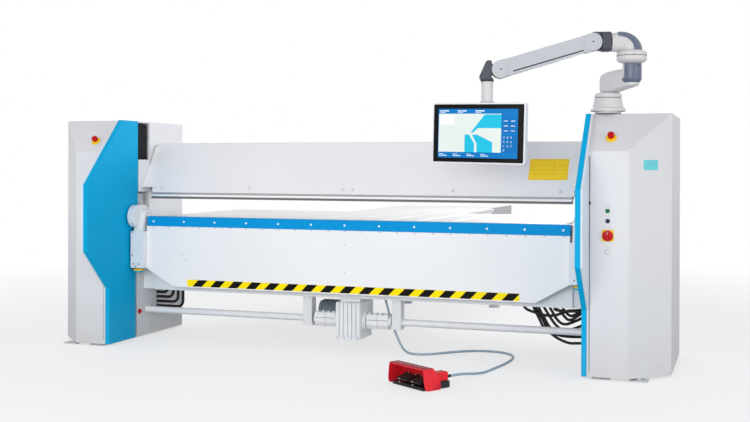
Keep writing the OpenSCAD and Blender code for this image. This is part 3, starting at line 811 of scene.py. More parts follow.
def on_slant(side):
    """From a stop button's own millimetres to its place on the 45 degree top front."""
    x, y, z, c = side * (INNER + 166), 81, TOWER_TOP - TOWER_BEVEL + 81, math.sqrt(0.5)
    return lambda p: (x + p[0], y + (p[1] - p[2]) * c, z + (p[1] + p[2]) * c)


def add_towers():
    for side in ("left", "right"):
        rounded("tower_" + side, 3.0, TOWER_WHITE_PAINTED_LIGHT)
        rounded("cheek_" + side, 3.0, BLUE)
    rounded("levelling_feet", 2.0, GREY)
    rounded("bearing_blocks", 2.0, CASTING)
    rounded("pivot_pins", 1.5, STEEL)
    strips, bars = [], []
    for s in (-1, 1):
        x = sorted((s * 1772, s * 1795))
        strips.append(block((x[0], 468, 810), (x[1], 512, 1600)))
        x = sorted((s * 1778, s * 1795))
        bars.append(block((x[0], 515, 810), (x[1], 533, 1600)))
    made("slide_strips", merged(*strips), WHITE, "machine", 2.0, 2, ("slide_guides",))
    made("slide_bars", merged(*bars), MOTOR, "machine", 1.5, 2, ("slide_guides",))
    seals = [block((min(s * (CABINET + 1.5), s * (CABINET + 4.5)), 1.5, 46),
                   (max(s * (CABINET + 1.5), s * (CABINET + 4.5)), 5.5, TOWER_TOP - TOWER_BEVEL - 31)) for s in (-1, 1)]
    made("door_seals", merged(*seals), SEAL, "machine", 0.0)
    # a bare plate on the bevel of the right tower
    c = math.sqrt(0.5)
    board = round_corners([(-56, -31), (56, -31), (56, 31), (-56, 31)], 9, 4)
    made("teal_plate", prism(board, -0.2, 0.8, lambda a, b, h: (2063.5 + c * (a + h), 120.5 + c * (a - h), 1301.5 + b)),
         LABEL_TEAL, "machine", 0.3, 1)
    # screws down the edge of the inner panels, and the red cap on the left one
    spots = []
    for s in (-1, 1):
        for z in (70, 230, 390, 550, 710):
            spots += [(s * INNER, 575, z, (-s, 0, 0)), (s * INNER, 1010, z, (-s, 0, 0))]
    fasteners("inner_panel_screws", spots, 6, 3, "machine")
    made("grease_cap", lathe([(19, 0), (19, 3), (15, 5), (15, 12), (13, 14), (0, 14.5)],
                             (-INNER, 397, 204), (1, 0, 0), 28), BUTTON_RED, "machine", 0.6)
    add_bellows()
    add_rear_doors()


def add_bellows():
    """Folds close the slot above the clamping arm, and a paler set hangs below it."""
    for side, name in ((-1, "left"), (1, "right")):
        for part, x, y, low, high, folds, finish, slot in (
                ("upper", 1689, 455, 1336.5, 1609, 24, FOLDS, "bellows_black"),
                ("lower", 1704, 422, 801, 1093, 24, FOLDS_GREY, "bellows_grey")):
            wide, deep = (16, 138) if part == "upper" else (62, 72)
            piece = grown(f"bellows_{part}_{name}", "pleats", [(side * x, y, low)], {
                "Width": wide / 1000, "Depth": deep / 1000, "Folds": folds,
                "Pitch": (high - low) / folds / 1000, "Fold depth": 0.0055, "Corner": 0.004,
                "Finish": finish}, None, stands_for=("bellows_" + part,))
            if part == "upper":
                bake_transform(piece)
            else:
                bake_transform(piece)


def add_rear_doors():
    """Service doors on the backs of the towers, with louvres and quarter-turn locks."""
    y = TOWER_DEPTH
    doors, louvres, locks = [], [], []
    for s in (-1, 1):
        x = sorted((s * 1700, s * 2150))
        outline = round_corners([(x[0], 60), (x[1], 60), (x[1], 1570), (x[0], 1570)], 10, 3)
        doors.append(prism(outline, y - 0.2, y + 3, lambda a, b, h: (a, h, b)))
        louvres += [block((s * 1925 - 110, y + 2.8, 180 + 22 * i), (s * 1925 + 110, y + 7, 190 + 22 * i))
                    for i in range(9)]
        for z in (300, 1300):
            locks.append(lathe([(15, 0), (15, 3), (12, 5), (0, 5)], (s * 1730, y + 3, z), (0, 1, 0), 24))
    made("rear_doors", merged(*doors), WHITE, "machine", 1.0)
    made("rear_louvres", merged(*louvres), GREY, "machine", 1.6)
    made("rear_locks", merged(*locks), BLACK, "machine", 0.5, 1)


def add_controls():
    """The stop buttons, the main switch and the push buttons, each with a bare label."""
    rounded("stop_collars", 0.8, YELLOW)
    rounded("main_switch_plate", 2.0, YELLOW)
    mushroom = [(8, 9), (17, 9.4), (18, 11), (18.6, 21), (20.2, 23.5), (21, 27), (20.9, 34), (20, 37.4),
                (17.4, 40.3), (12, 41.8), (0, 42.2)]
    for side, name in ((-1, "left"), (1, "right")):
        place = on_slant(side)
        made("stop_mushroom_" + name, lathe(mushroom, (0, 0, 0), UP, 40, place), BUTTON_RED,
             "stop_" + name, 0.0, 1, ("stop_button_" + name,))
    knob = [(10, 0), (10, 4), (27, 5), (33, 7), (33, 12), (30, 15), (20, 16), (0, 16)]
    grip = round_corners([(-8, -29), (8, -29), (8, 29), (-8, 29)], 6, 4)
    made("main_switch_handle", merged(
        lathe(knob, (PANEL_X, -3, 875), FRONT, 40),
        prism(grip, -30, -17, lambda a, b, h: (PANEL_X + a, h, 875 + b))), BUTTON_RED,
        "switch_knob", 1.5, 2, ("main_switch_knob",))
    made("main_switch_mark", block((PANEL_X - 1.5, -31.4, 884), (PANEL_X + 1.5, -30, 901)), LABEL_PALE,
         "switch_knob", 0.3, 1)
    cap = [(11, 0), (11, 7.2), (12.6, 7.6), (13.6, 9), (13.4, 10.6), (12, 11.8), (0, 12)]
    for node, body, finish, slot, z in (("start_button", "start", GREEN, "green_button", 1024),
                                        ("reset_button", "reset", NAVY, "blue_button", 963)):
        x = PANEL_X - (1 if node == "start_button" else 0)
        made(node + "_cap", lathe(cap, (x, 0, z), FRONT, 36), finish, body, 0.0, 1, (node,))
    rings = [lathe([(14.2, 0), (17.6, 0), (17.6, 2), (16.6, 3.4), (15, 3.4), (14.2, 2.6), (14.2, 0)],
                   (PANEL_X - (1 if z > 1000 else 0), 0.1, z), FRONT, 36) for z in (1024, 963)]
    rings = [(points, faces[:-2]) for points, faces in rings]  # open in the middle
    made("push_button_rings", merged(*rings), ZINC, "machine", 0.0)
    made("key_socket", merged(
        lathe([(16.5, 0), (16.5, 3), (14.5, 5), (12, 5.5), (12, 11), (10.5, 12.5), (0, 12.5)],
              (PANEL_X, 0.1, 776), FRONT, 36)), LABEL_PALE, "machine", 0.5)
    plates = [block((PANEL_X - 15, -1.2, z - 2), (PANEL_X + 15, 0.1, z + 16)) for z in (1043, 982, 797)]
    plates.append(block((PANEL_X - 27, -1.2, 917), (PANEL_X + 27, 0.1, 930)))
    made("blank_labels", merged(*plates), LABEL_PALE, "machine", 0.4, 1)
    made("panel_lock", merged(
        lathe([(8, 0), (8, 4), (6, 5), (0, 5)], (CABINET + 3, 0, 1070), FRONT, 20),
        block((CABINET + 1.5, -7, 1058), (CABINET + 4.5, -4, 1082))), BLACK, "machine", 0.5)


# The clamping beam

def add_clamping_beam():
    rounded("upper_beam", 4.0, WARM_WHITE, 3)
    # One steel tool drawn as three bands: the dark blade with painted shade, a painted reflection on the slanted face,
    # and the holder in painted shadow under the cover
    for name, outline, finish, edge in (
            ("tool_blade", [(365, 1048), (366, 1053), (378, 1064), (440, 1064), (430, 1048)], TOOL_DARK_WITH_PAINTED_SHADE, 0.6),
            ("tool_painted_reflection_band", [(378, 1064), (384, 1069), (387, 1078), (452, 1078), (440, 1064)], TOOL_PAINTED_REFLECTION, 0.8),
            ("tool_holder", [(387, 1078), (394, 1086), (402, 1092), (480, 1092), (470, 1078)], TOOL_PAINTED_SHADOW, 0.8)):
        made(name, prism(outline, -HALF, HALF, lambda a, b, h: (h, a, b)), finish,
             "clamp_beam", edge, 2, ("upper_tool",))
    rounded("clamp_arms", 4.0, CASTING, 3)
    catches, knobs = [], []
    for x in (-1484, -769, -51, 24, 744, 1463):
        foot = block((x - 9, 0, 34), (x + 9, 5, 58))
        catches.append(moved(foot, lambda p: on_cover(p[0], p[2], p[1] - 0.5)))
        knobs.append(moved(block((x - 4, 4, 28), (x + 4, 13, 48)), lambda p: on_cover(p[0], p[2], p[1])))
    made("tool_catch_plates", merged(*catches), WARM_WHITE, "clamp_beam", 0.8)
    made("tool_catch_levers", merged(*knobs), LABEL_PALE, "clamp_beam", 1.2)
    stops = [block((min(s * 1549, s * 1561), 402, 1095), (max(s * 1549, s * 1561), 432, 1128)) for s in (-1, 1)]
    made("tool_end_stops", merged(*stops), WARM_WHITE, "clamp_beam", 1.5)
    add_cover_plate()


def add_cover_plate():
    """A plain yellow plate, ruled as a form but with nothing written on it."""
    x0, x1, low, high = 1244, 1504, 129, 293
    board = round_corners([(x0, low), (x1, low), (x1, high), (x0, high)], 5, 3)
    made("yellow_plate", prism(board, -0.2, 1.0, lambda a, b, h: on_cover(a, b, h)), LABEL,
         "clamp_beam", 0.3, 1)
    rules = []
    for u in (x0 + 5, x0 + 165, x1 - 5):
        rules.append(block((u - 0.9, 0.8, low + 5), (u + 0.9, 1.3, high - 5)))
    for share in (0.03, 0.28, 0.5, 0.72, 0.97):
        v = low + share * (high - low)
        rules.append(block((x0 + 5, 0.8, v - 0.9), (x1 - 5, 1.3, v + 0.9)))
    made("yellow_plate_rules", moved(merged(*rules), lambda p: on_cover(p[0], p[2], p[1])), LABEL_RULE,
         "clamp_beam", 0.0)


# The folding beam

def add_folding_beam():
    rounded("bending_rail", 1.2, RAIL_BLUE)
    rounded("apron", 2.5, BEAM_WHITE)
    core = [(-1180, 470), (1180, 470), (1508, 664), (1508, RAIL_FOOT), (-1508, RAIL_FOOT), (-1508, 664)]
    ribs = [block((min(s * 1503, s * 1567), 345, 600), (max(s * 1503, s * 1567), 400, 800)) for s in (-1, 1)]
    made("beam_core_box", merged(
        prism(core, 316, 380, lambda a, b, h: (a, h, b)),
        block((-1508, 379, 664), (1508, 411, 800)), *ribs), BEAM_WHITE, "folding_beam",
        2.0, 2, ("beam_core",))
    rounded("end_arms", 4.0, CASTING, 3)
    # the rail bolt heads carry a painted glint
    fasteners("rail_bolts", [(-1496 + 250 * i, 316, 882, FRONT) for i in range(13)], 7.5, 2.5, "folding_beam",
              finish=BOLT_PAINTED_GLINT)
    fasteners("rail_screws", [(-1488 + 125 * i, APRON_Y, 841, FRONT) for i in range(25)], 3.4, 1.6,
              "folding_beam", finish=DARK, sides=10)
    places = [(12, 750), (12, 562), (-1254, 637), (-1220, 603), (1274, 639), (1239, 603)]
    fasteners("apron_bolts", [(x, APRON_Y, z, FRONT) for x, z in places], 5, 2.5, "folding_beam")
    tape = [(-1210, 417), (1223, 417), (1223, 466), (-1210, 466)]
    made("hazard_tape", prism(tape, APRON_Y - 0.5, APRON_Y + 0.1, lambda a, b, h: (a, h, b)), TAPE_YELLOW,
         "folding_beam", 0.0)
    grown("hazard_bars", "stripes", [(-1106.5, APRON_Y - 0.55, 441.5)], {
        "Count": 17, "Pitch": 0.142, "Bar": 0.0745, "Tall": 0.0486, "Lean": 0.0486, "Thick": 0.0005,
        "Finish": TAPE_BLACK}, "folding_beam")
    add_adjusters()
    covers = []
    for s in (-1, 1):
        rim = [(BEND_Y + 72 * k - 82 * math.cos(math.radians(a)) * f, BEND_Z + 82 * math.sin(math.radians(a)))
               for k, f, a in [(-1, 1, t) for t in range(-90, 91, 10)] + [(0, -1, t) for t in range(90, -91, -10)]]
        covers.append(prism(rim, min(s * 1606, s * 1654), max(s * 1606, s * 1654), lambda a, b, h: (h, a, b)))
    made("pivot_covers", merged(*covers), CASTING, "folding_beam", 2.0)
    spots = []
    for s in (-1, 1):
        spots += [(s * x, 255, z, FRONT) for x, z in ((1636, 800), (1636, 633), (1627, 569), (1609, 553), (1583, 570))]
    fasteners("end_arm_bolts", spots, 4.5, 2.5, "folding_beam", finish=DARK)


def add_adjusters():
    """The knurled setting wheels under the end arms."""
    gold, blue, bars = [], [], []
    foot = BEND_Z - 377
    for s in (-1, 1):
        x, y = s * (HALF + 64), 298
        gold += [lathe([(37, -22), (39, -20), (39, -13), (37, -11), (14, -11), (12, -9), (12, 0)], (x, y, foot))]
        blue += [lathe([(20, -33), (34, -33), (35, -31.5), (35, -23.5), (34, -22), (20, -22)], (x, y, foot))]
        bars.append((x, y, foot - 16.5))
    made("adjuster_wheel_rings", merged(*gold), YELLOW, "folding_beam", 0.4, 1,
         ("adjuster_wheels",))
    made("adjuster_wheel_hubs", merged(*blue), BLUE, "folding_beam", 0.4, 1,
         ("adjuster_wheels",))
    for name, spot in zip(("left", "right"), bars):
        grown("adjuster_knurl_" + name, "ring", [spot], {
            "Radius": 0.0388, "Bars": 44, "Bar width": 0.0028, "Bar depth": 0.0016, "Bar height": 0.0075,
            "Finish": YELLOW}, "folding_beam")


# The lower beam, the table and what hangs under them

# how far back each hose at the right lies, and its places in x and z
HOSE_RUNS = [
    (650, [(1249, 342), (1266, 305), (1290, 259), (1314, 213), (1348, 181), (1382, 156), (1429, 128), (1490, 108),
           (1536, 109), (1583, 111)]),
    (620, [(1289, 347), (1306, 311), (1333, 265), (1360, 219), (1394, 188), (1434, 168), (1481, 162), (1534, 164),
           (1587, 167)]),
    (590, [(1331, 351), (1352, 317), (1379, 275), (1412, 233), (1452, 205), (1499, 204), (1545, 220), (1591, 238)]),
    (560, [(1374, 355), (1394, 323), (1417, 284), (1451, 252), (1484, 246), (1523, 259), (1563, 278), (1595, 293)]),
    (520, [(1215, 352), (1240, 334), (1298, 317), (1358, 304), (1417, 307), (1464, 325), (1503, 340), (1549, 345),
           (1601, 351)]),
    (490, [(1424, 357), (1455, 341), (1482, 310), (1508, 287), (1534, 289), (1567, 311), (1605, 335)]),
    (672, [(1264, 325), (1285, 295), (1305, 262), (1327, 220), (1352, 191), (1384, 166), (1421, 153), (1464, 148), (1515, 147), (1562, 149)]),
    (466, [(1428, 352), (1451, 348), (1480, 345), (1513, 345), (1555, 347), (1596, 348)]),
    (540, [(1468, 351), (1485, 330), (1504, 312), (1525, 306), (1548, 315), (1569, 328), (1587, 340)])]

def add_lower_beam():
    rounded("lower_beam", 3.0, BEAM_WHITE)
    rounded("lower_tool", 0.8, STEEL)
    rounded("table_plates", 0.8, PLATE, 1)
    rounded("table_frame", 2.0, GREY, 1)
    rounded("side_guide", 1.0, STEEL, 1)
    rounded("drive_tubes", 1.5, BEAM_WHITE)
    rounded("hanger_brackets", 4.0, WHITE, 3)
    rounded("gearbox", 3.0, CASTING, 3)
    shell, dark = [], []
    section = [(-50, -20), (-50, 44), (-43, 52), (43, 52), (50, 44), (50, -20), (30, -50), (-30, -50)]
    for s in (-1, 1):
        for a, b in ((114, 193), (195, 274)):
            shell.append(prism([(500 + p, 208 + q) for p, q in section], min(s * a, s * b), max(s * a, s * b),
                               lambda p, q, h: (h, p, q)))
        shell.append(lathe([(30, 0), (30, 18)], (s * 110, 500, 208), (s, 0, 0), 28))
        shell.append(lathe([(44, 0), (30, 18)], (s * 273, 500, 208), (s, 0, 0), 28))
        dark.append(block((min(s * 118, s * 270), 449.4, 219), (max(s * 118, s * 270), 451, 221.5)))
        shell += [lathe([(8, 0), (8, 8), (6, 8), (6, 12), (0, 12)], (s * (134 + 40 * i), 468, 259), UP, 18)
                  for i in range(4)]
    made("shaft_clamps", merged(*shell), BEAM_WHITE, "machine", 1.6, 2, ("shaft_couplings",))
    made("shaft_clamp_splits", merged(*dark), SHADOW, "machine", 0.0)
    rounded("drive_motor", 1.6, MOTOR)
    rounded("hose_bundle_left", 0.0, RUBBER)
    strands = []
    for y, run in HOSE_RUNS:
        run = [(run[0][0] - 4, 367)] + run + [(1640, run[-1][1]), (1665, run[-1][1])]
        strands.append(swept(smooth_path([(x, y, z) for x, z in run], 4), 9.5, 14))
    made("hose_strands_right", merged(*strands), RUBBER, "machine", 0.0, 1, ("hose_bundle_right",))
    fasteners("gearbox_bolts", [(x, 394, 96.5, FRONT) for x in (-77, -26, 26, 77)], 6.5, 4.5, "machine")
    spots = []
    for s in (-1, 1):
        for x in (315, 350):
            spots += [(s * x, 460, 350, FRONT, 0.8)]
    fasteners("coupling_bolts", spots, 7, 3, "machine")
    plate_screws = []
    for i in range(12):
        x = -1500 + 250 * i + 125
        for dx in (-75, 75):
            for y in (470, 560):
                plate_screws.append((x + dx, y, BEND_Z, UP))
    fasteners("plate_screws", plate_screws, 5, 0.6, "machine", sides=12)
    collars = []
    for i in range(4):
        collars.append(lathe([(15, 0), (15, 9), (12.5, 12), (11.2, 14)], (-INNER, 650, 322 - 35 * i), (1, 0, 0), 6))
    for y, run in HOSE_RUNS:
        collars.append(lathe([(14, 0), (14, 9), (12, 12), (9.6, 14)], (INNER, y, run[-1][1]), (-1, 0, 0), 6))
    made("hose_glands", merged(*collars), DARK, "machine", 0.6, 1)


# The arm that carries the operator panel

def part_turned(outline, origin, start, turn, steps=22):
    """A closed (radius, height) outline swung round a vertical axis through part of a turn."""
    points, faces, n = [], [], len(outline)
    for i in range(steps + 1):
        a = start + turn * i / steps
        points += [(origin[0] + r * math.cos(a), origin[1] + r * math.sin(a), z) for r, z in outline]
    for i in range(steps):
        for k in range(n):
            j = (k + 1) % n
            faces.append((i * n + k, i * n + j, (i + 1) * n + j, (i + 1) * n + k))
    faces += [tuple(range(n)), tuple(range(steps * n, (steps + 1) * n))]
    return points, faces


def add_arm_base():
    z = TOWER_TOP
    foot = [(80, 0), (80, 19), (105, 18), (108, 21), (108, 33), (105, 37), (98, 41), (95, 46), (86, 92),
            (83, 99), (80, 104), (0, 104)]
    made("arm_foot", lathe([(r, z + h) for r, h in foot], (*ARM_A, 0), UP, 56), ARM_WHITE,
         "machine", 0.8, 2, ("arm_base",))
    spots = []
    for k in range(8):
        a = math.radians(22.5 + 45 * k)
        spots.append((ARM_A[0] + 87 * math.cos(a), ARM_A[1] + 87 * math.sin(a), z + 86,
                      (math.cos(a), math.sin(a), 0.2)))
    fasteners("arm_foot_screws", spots, 3.6, 1.5, "machine", finish=ZINC)
    # a black ring where the foot meets the tower top: painted shadow in that joint
    made("arm_foot_shadow_ring", lathe([(79, z - 0.2), (84, z), (84, z + 4), (79, z + 6)], (*ARM_A, 0), UP, 48),
         BLACK, "machine", 0.0)


def capsule(a, b, ra, rb, steps=16):
    """An outline round two circles and the tangents between them."""
    d = Vector((b[0] - a[0], b[1] - a[1]))
    lean = math.acos((ra - rb) / d.length)
    head = math.atan2(d.y, d.x)
    out = []
    for (x, y), r, first, last in ((a, ra, head + lean, head + 2 * math.pi - lean),
                                   (b, rb, head - lean, head + lean)):
        for k in range(steps + 1):
            t = first + (last - first) * k / steps
            out.append((x + r * math.cos(t), y + r * math.sin(t)))
    return out


def add_arm_link():
    """The lower link: a casting from the foot's swivel to the upright column, with a dark cap."""
    z = TOWER_TOP + 104.3
    way = math.atan2(ARM_B[1] - ARM_A[1], ARM_B[0] - ARM_A[0])
    made("arm_swivel_ring", lathe([(79, z), (83, z + 3), (84, z + 6), (84, z + 20), (80, z + 27), (70, z + 32),
                                   (0, z + 32)], (*ARM_A, 0), UP, 52), ARM_WHITE, "arm_lower",
         0.8, 2, ("arm_link",))
    reach = math.dist(ARM_A, ARM_B)
    c, s = math.cos(way), math.sin(way)
    levels = [(32, 0, 30, 44, 38), (35, 0, 50, 50, 42), (44, 0, 95, 53, 45), (55, 0, 160, 53, 46),
              (64, 0, reach - 8, 53, 46), (74, 0, reach, 53, 46), (118, 0, reach, 53, 46), (138, 5, reach, 50, 46),
              (150, 14, reach, 42, 45), (158, 34, reach, 34, 43), (164, 80, reach, 30, 38), (168, 120, reach, 24, 32)]
    points = []
    for up, near, far, wide, narrow in levels:
        ring = capsule((near, 0), (far, 0), wide, narrow)
        points += [(ARM_A[0] + p * c - q * s, ARM_A[1] + p * s + q * c, z + up) for p, q in ring]
    n = len(points) // len(levels)
    faces = [(i * n + k, i * n + (k + 1) % n, (i + 1) * n + (k + 1) % n, (i + 1) * n + k)
             for i in range(len(levels) - 1) for k in range(n)]
    faces += [tuple(reversed(range(n))), tuple(range((len(levels) - 1) * n, len(levels) * n))]
    link = made("arm_lower_link", (points, faces), ARM_WHITE, "arm_lower", 0.0)
    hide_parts("arm_link")
    column = [(0, 172), (12, 173), (40, 186), (54, 202), (55, 300), (60, 305), (78, 310), (89, 320), (92, 328),
              (92, 343), (89.5, 348), (0, 349.5)]
    made("arm_column", lathe([(r, TOWER_TOP + h) for r, h in column], (*ARM_B, 0), UP, 52), ARM_WHITE,
         "arm_lower", 1.2)
    cap = [(0.5, 163), (14, 164), (40, 179), (55, 195), (60, 212), (60, 300), (57, 307), (53, 308), (53, 206),
           (38, 188), (0.5, 173)]
    cap = [(r, TOWER_TOP + h) for r, h in cap]
    bowl = lathe([(r, TOWER_TOP + h) for r, h in [(0, 163), (14, 164), (40, 179), (55, 195), (59.5, 208),
                                                  (59.5, 213), (53, 214)]], (*ARM_B, 0), UP, 44)
    made("arm_column_cap", merged(part_turned(cap, ARM_B, way - math.radians(88), math.radians(178)), bowl), SLATE,
         "arm_lower", 1.6)
    seam = [(53.6, z + 44), (53.6, z + 140), (52, z + 140), (52, z + 44)]
    made("arm_link_seam", part_turned(seam, ARM_A, way + math.radians(148), math.radians(5), 2), SHADOW,
         "arm_lower", 0.0)
    out = Vector((math.cos(way), math.sin(way), 0))
    spot = Vector((*ARM_B, TOWER_TOP + 292)) + out * 59.8
    fasteners("arm_cap_screw", [(*spot, tuple(out))], 5, 2, "arm_lower", finish=DARK)
    seams = [lathe([(70, h - 1.4), (r, h - 1.4), (r, h), (70, h)], (*p, 0), UP, 48)
             for p, r, h in ((ARM_A, 82, TOWER_TOP + 104.2), (ARM_B, 90.6, TOWER_TOP + 350.2))]
    made("arm_swivel_seams", merged(*seams), SHADOW, "arm_lower", 0.0)


def add_elbow():
    """The cast elbow on the column, its dark back cap, and the pivot collar of the boom."""
    z = TOWER_TOP + 350.3
    made("elbow_ring", lathe([(92, z), (92, z + 16), (89, z + 22), (82, z + 27), (66, z + 33), (0, z + 34)],
                             (*ARM_B, 0), UP, 52), ARM_WHITE, "arm_upper", 0.8, 2, ("arm_elbow",))
    bend, foot = 64.0, BOOM_Z - 64.0
    path = [(0, 0, foot - 6)]
    path += [(bend - bend * math.cos(a), 0, foot + bend * math.sin(a))
             for a in (math.radians(7.5 * k) for k in range(13))]
    path += [(bend + 24, 0, BOOM_Z), (bend + 48, 0, BOOM_Z), (bend + 62, 0, BOOM_Z)]
    radii = [62] * 9 + [61.5, 61, 60.5, 60, 59.5, 58.5, 58, 58]
    pipe = swept(path, radii, 40, 0.96, up=(-1, 0, 0))
    made("arm_elbow_casting", moved(pipe, on_arm), ARM_WHITE, "arm_upper", 1.0)
    outline_turns, shell = 16, []
    steps = 12
    for i in range(steps + 1):
        a = math.radians(min(90, -4 + 112 * i / steps))
        bulge = 3.0 + 1.6 * math.sin(math.pi * i / steps)
        centre = Vector((bend - bend * math.cos(a) + max(0, 112 * i / steps - 94) * 1.4, 0, foot + bend * math.sin(a)))
        spread = 94 - 44 * i / steps
        out = Vector((-math.cos(a), 0, math.sin(a)))
        ring = []
        for r in (62 + bulge, 57):
            turns = range(outline_turns + 1) if r > 58 else range(outline_turns, -1, -1)
            for k in turns:
                b = math.radians(spread * (2 * k / outline_turns - 1))
                ring.append(tuple(centre + out * (r * math.cos(b)) + Vector((0, r * 0.97 * math.sin(b), 0))))
        shell.append(ring)
    points = [p for ring in shell for p in ring]
    n = len(shell[0])
    faces = [(i * n + k, i * n + (k + 1) % n, (i + 1) * n + (k + 1) % n, (i + 1) * n + k)
             for i in range(steps) for k in range(n)]
    faces += [tuple(range(n)), tuple(range(steps * n, (steps + 1) * n))]
    cap = (points, faces)
    made("elbow_back_cap", moved(cap, on_arm), SLATE, "arm_upper", 1.4)
    ring = prism(round_corners([(-54, -57), (54, -57), (54, 63), (-54, 63)], 26, 6), 130, 184,
                 lambda a, b, h: (h, a, BOOM_Z + b))
    tongue = prism(round_corners([(160, -54), (262, -50), (296, -20), (296, 24), (236, 63), (160, 63)], 16, 5),
                   -26, 26, lambda a, b, h: (a, h, BOOM_Z + b))
    made("boom_pivot_collar", moved(ring, on_arm), DARK, "arm_upper", 7.0, 3)
    made("boom_pivot_tongue", moved(tongue, on_arm), DARK, "arm_upper", 4.0, 3)


def add_boom():
    """The extruded boom with a slot along each side, forked at both ends."""
    half, low, high = 40.0, -52.0, 52.0
    section = [(-half, low), (half, low), (half, -38), (half - 5, -38), (half - 5, -30), (half, -30),
               (half, high), (-half, high), (-half, -30), (-half + 5, -30), (-half + 5, -38), (-half, -38)]
    body = prism(section, 64, BOOM_LEN - 64, lambda a, b, h: (h, a, b))
    made("boom_profile", moved(body, on_boom), BOOM_GREY, "arm_upper", 2.2, 3, ("arm_boom",))
    # dark strips on the floors of the slots: painted shade in the recesses
    slots = [block((66, s * 35.2 - 0.4, -37.6), (BOOM_LEN - 66, s * 35.2 + 0.4, -30.4)) for s in (-1, 1)]
    made("boom_slot_shadow_strip", moved(merged(*slots), on_boom), SHADOW, "arm_upper", 0.0)
    cheeks, discs, screws = [], [], []
    for end, head in ((0.0, 1), (BOOM_LEN, -1)):
        ring = [(end - head * 55 * math.sin(math.radians(a)), 55 * math.cos(math.radians(a)))
                for a in range(0, 181, 10)]
        outline = ring + [(end + head * 70, low), (end + head * 70, high)]
        for s in (-1, 1):
            near, far = sorted((s * 26.7, s * 42.0))
            cheeks.append(prism(outline, near, far, lambda a, b, h: (a, h, b)))
            discs.append(lathe([(55, 41.5), (55, 44), (53, 45.4), (47, 46.4), (0, 46.6)],
                               (end, 0, 0), (0, s, 0), 44))
            spot = on_boom((end, s * 46.5, 0))
            aim = Vector(on_boom((end, s * 56.5, 0))) - Vector(spot)
            screws.append((*spot, tuple(aim)))
    made("boom_fork_cheeks", moved(merged(*cheeks), on_boom), BOOM_GREY, "arm_upper", 2.0, 2)
    made("boom_pivot_discs", moved(merged(*discs), on_boom), BOOM_GREY, "arm_upper", 0.6, 2)
    fasteners("boom_pivot_screws", screws, 5, 1.5, "arm_upper", finish=DARK)
    wedge = round_corners([(-26, -66), (42, -66), (48, -40), (8, 50), (-4, 54), (-26, 54)], 9, 4)
    neck = prism(round_corners([(-112, -38), (-18, -38), (-18, 38), (-112, 38)], 30, 6), -26, 26,
                 lambda a, b, h: (HEAD_S + a, h, HEAD_Z + b))
    made("boom_head_shell", moved(prism(wedge, -45, 45, lambda a, b, h: (HEAD_S + a, h, HEAD_Z + b)), on_arm),
         DARK, "arm_upper", 7.0, 4, ("panel_head",))
    made("boom_head_tongue", moved(neck, on_arm), DARK, "arm_upper", 4.0, 3)
    ring = lathe([(40, -74), (41.5, -72), (41.5, -64), (38, -60), (38, -54)], (HEAD_S, 0, HEAD_Z), UP, 44)
    made("boom_head_ring", moved(ring, on_arm), BLACK, "arm_upper", 0.5)


# The operator panel

def on_face(p):
    """The screen hangs a little askew on its tube."""
    turn, cx, cz = math.radians(-1.2), -42, PANEL_TOP - PANEL_H / 2
    dx, dz = p[0] - cx, p[2] - cz
    return on_panel((cx + 3 + dx * math.cos(turn) - dz * math.sin(turn), p[1],
                     cz - 1 + dx * math.sin(turn) + dz * math.cos(turn)))


def add_panel():
    """A white framed touch screen hanging from a thick tube."""
    x0, x1 = -42 - PANEL_W / 2, -42 + PANEL_W / 2
    low, high = PANEL_TOP - PANEL_H, PANEL_TOP
    tube = [(36, high - 24), (36, high + 2), (44, high + 3), (44, high + 8), (39, high + 11), (36.4, high + 14),
            (36, HEAD_Z - 84), (38.5, HEAD_Z - 82), (38.5, HEAD_Z - 75)]
    made("panel_tube", moved(lathe(tube, (0, 0, 0), UP, 48), on_panel), ARM_WHITE, "panel",
         0.6, 2, ("panel_housing",))
    face = round_corners([(x0, low), (x1, low), (x1, high), (x0, high)], 15, 6)
    frame_part = prism(face, -54, -6, lambda a, b, h: (a, h, b))
    made("panel_frame", moved(frame_part, on_face), WHITE, "panel", 4.0, 3)
    back = round_corners([(x0 + 60, low + 50), (x1 - 60, low + 50), (x1 - 60, high - 20), (x0 + 60, high - 20)], 24, 6)
    made("panel_back", moved(prism(back, -8, 36, lambda a, b, h: (a, h, b)), on_panel), GREY, "panel",
         5.0, 3)
    mount = block((-48, -10, high - 90), (48, 44, high))
    vents = [block((x0 + 120 + 14 * i, 35.6, low + 80), (x0 + 127 + 14 * i, 37.2, low + 150)) for i in range(20)]
    made("panel_bracket", moved(mount, on_panel), ARM_WHITE, "panel", 5.0, 3)
    made("panel_vents", moved(merged(*vents), on_panel), SHADOW, "panel", 0.0)
    bezel = round_corners([(x0 + 9, low + 10), (x1 - 9, low + 10), (x1 - 9, high - 10), (x0 + 9, high - 10)], 6, 5)
    made("panel_bezel", moved(prism(bezel, -56, -51, lambda a, b, h: (a, h, b)), on_face), BEZEL, "panel",
         0.8, 2, ("screen",))
    add_display(x0 + 6, low + 6)


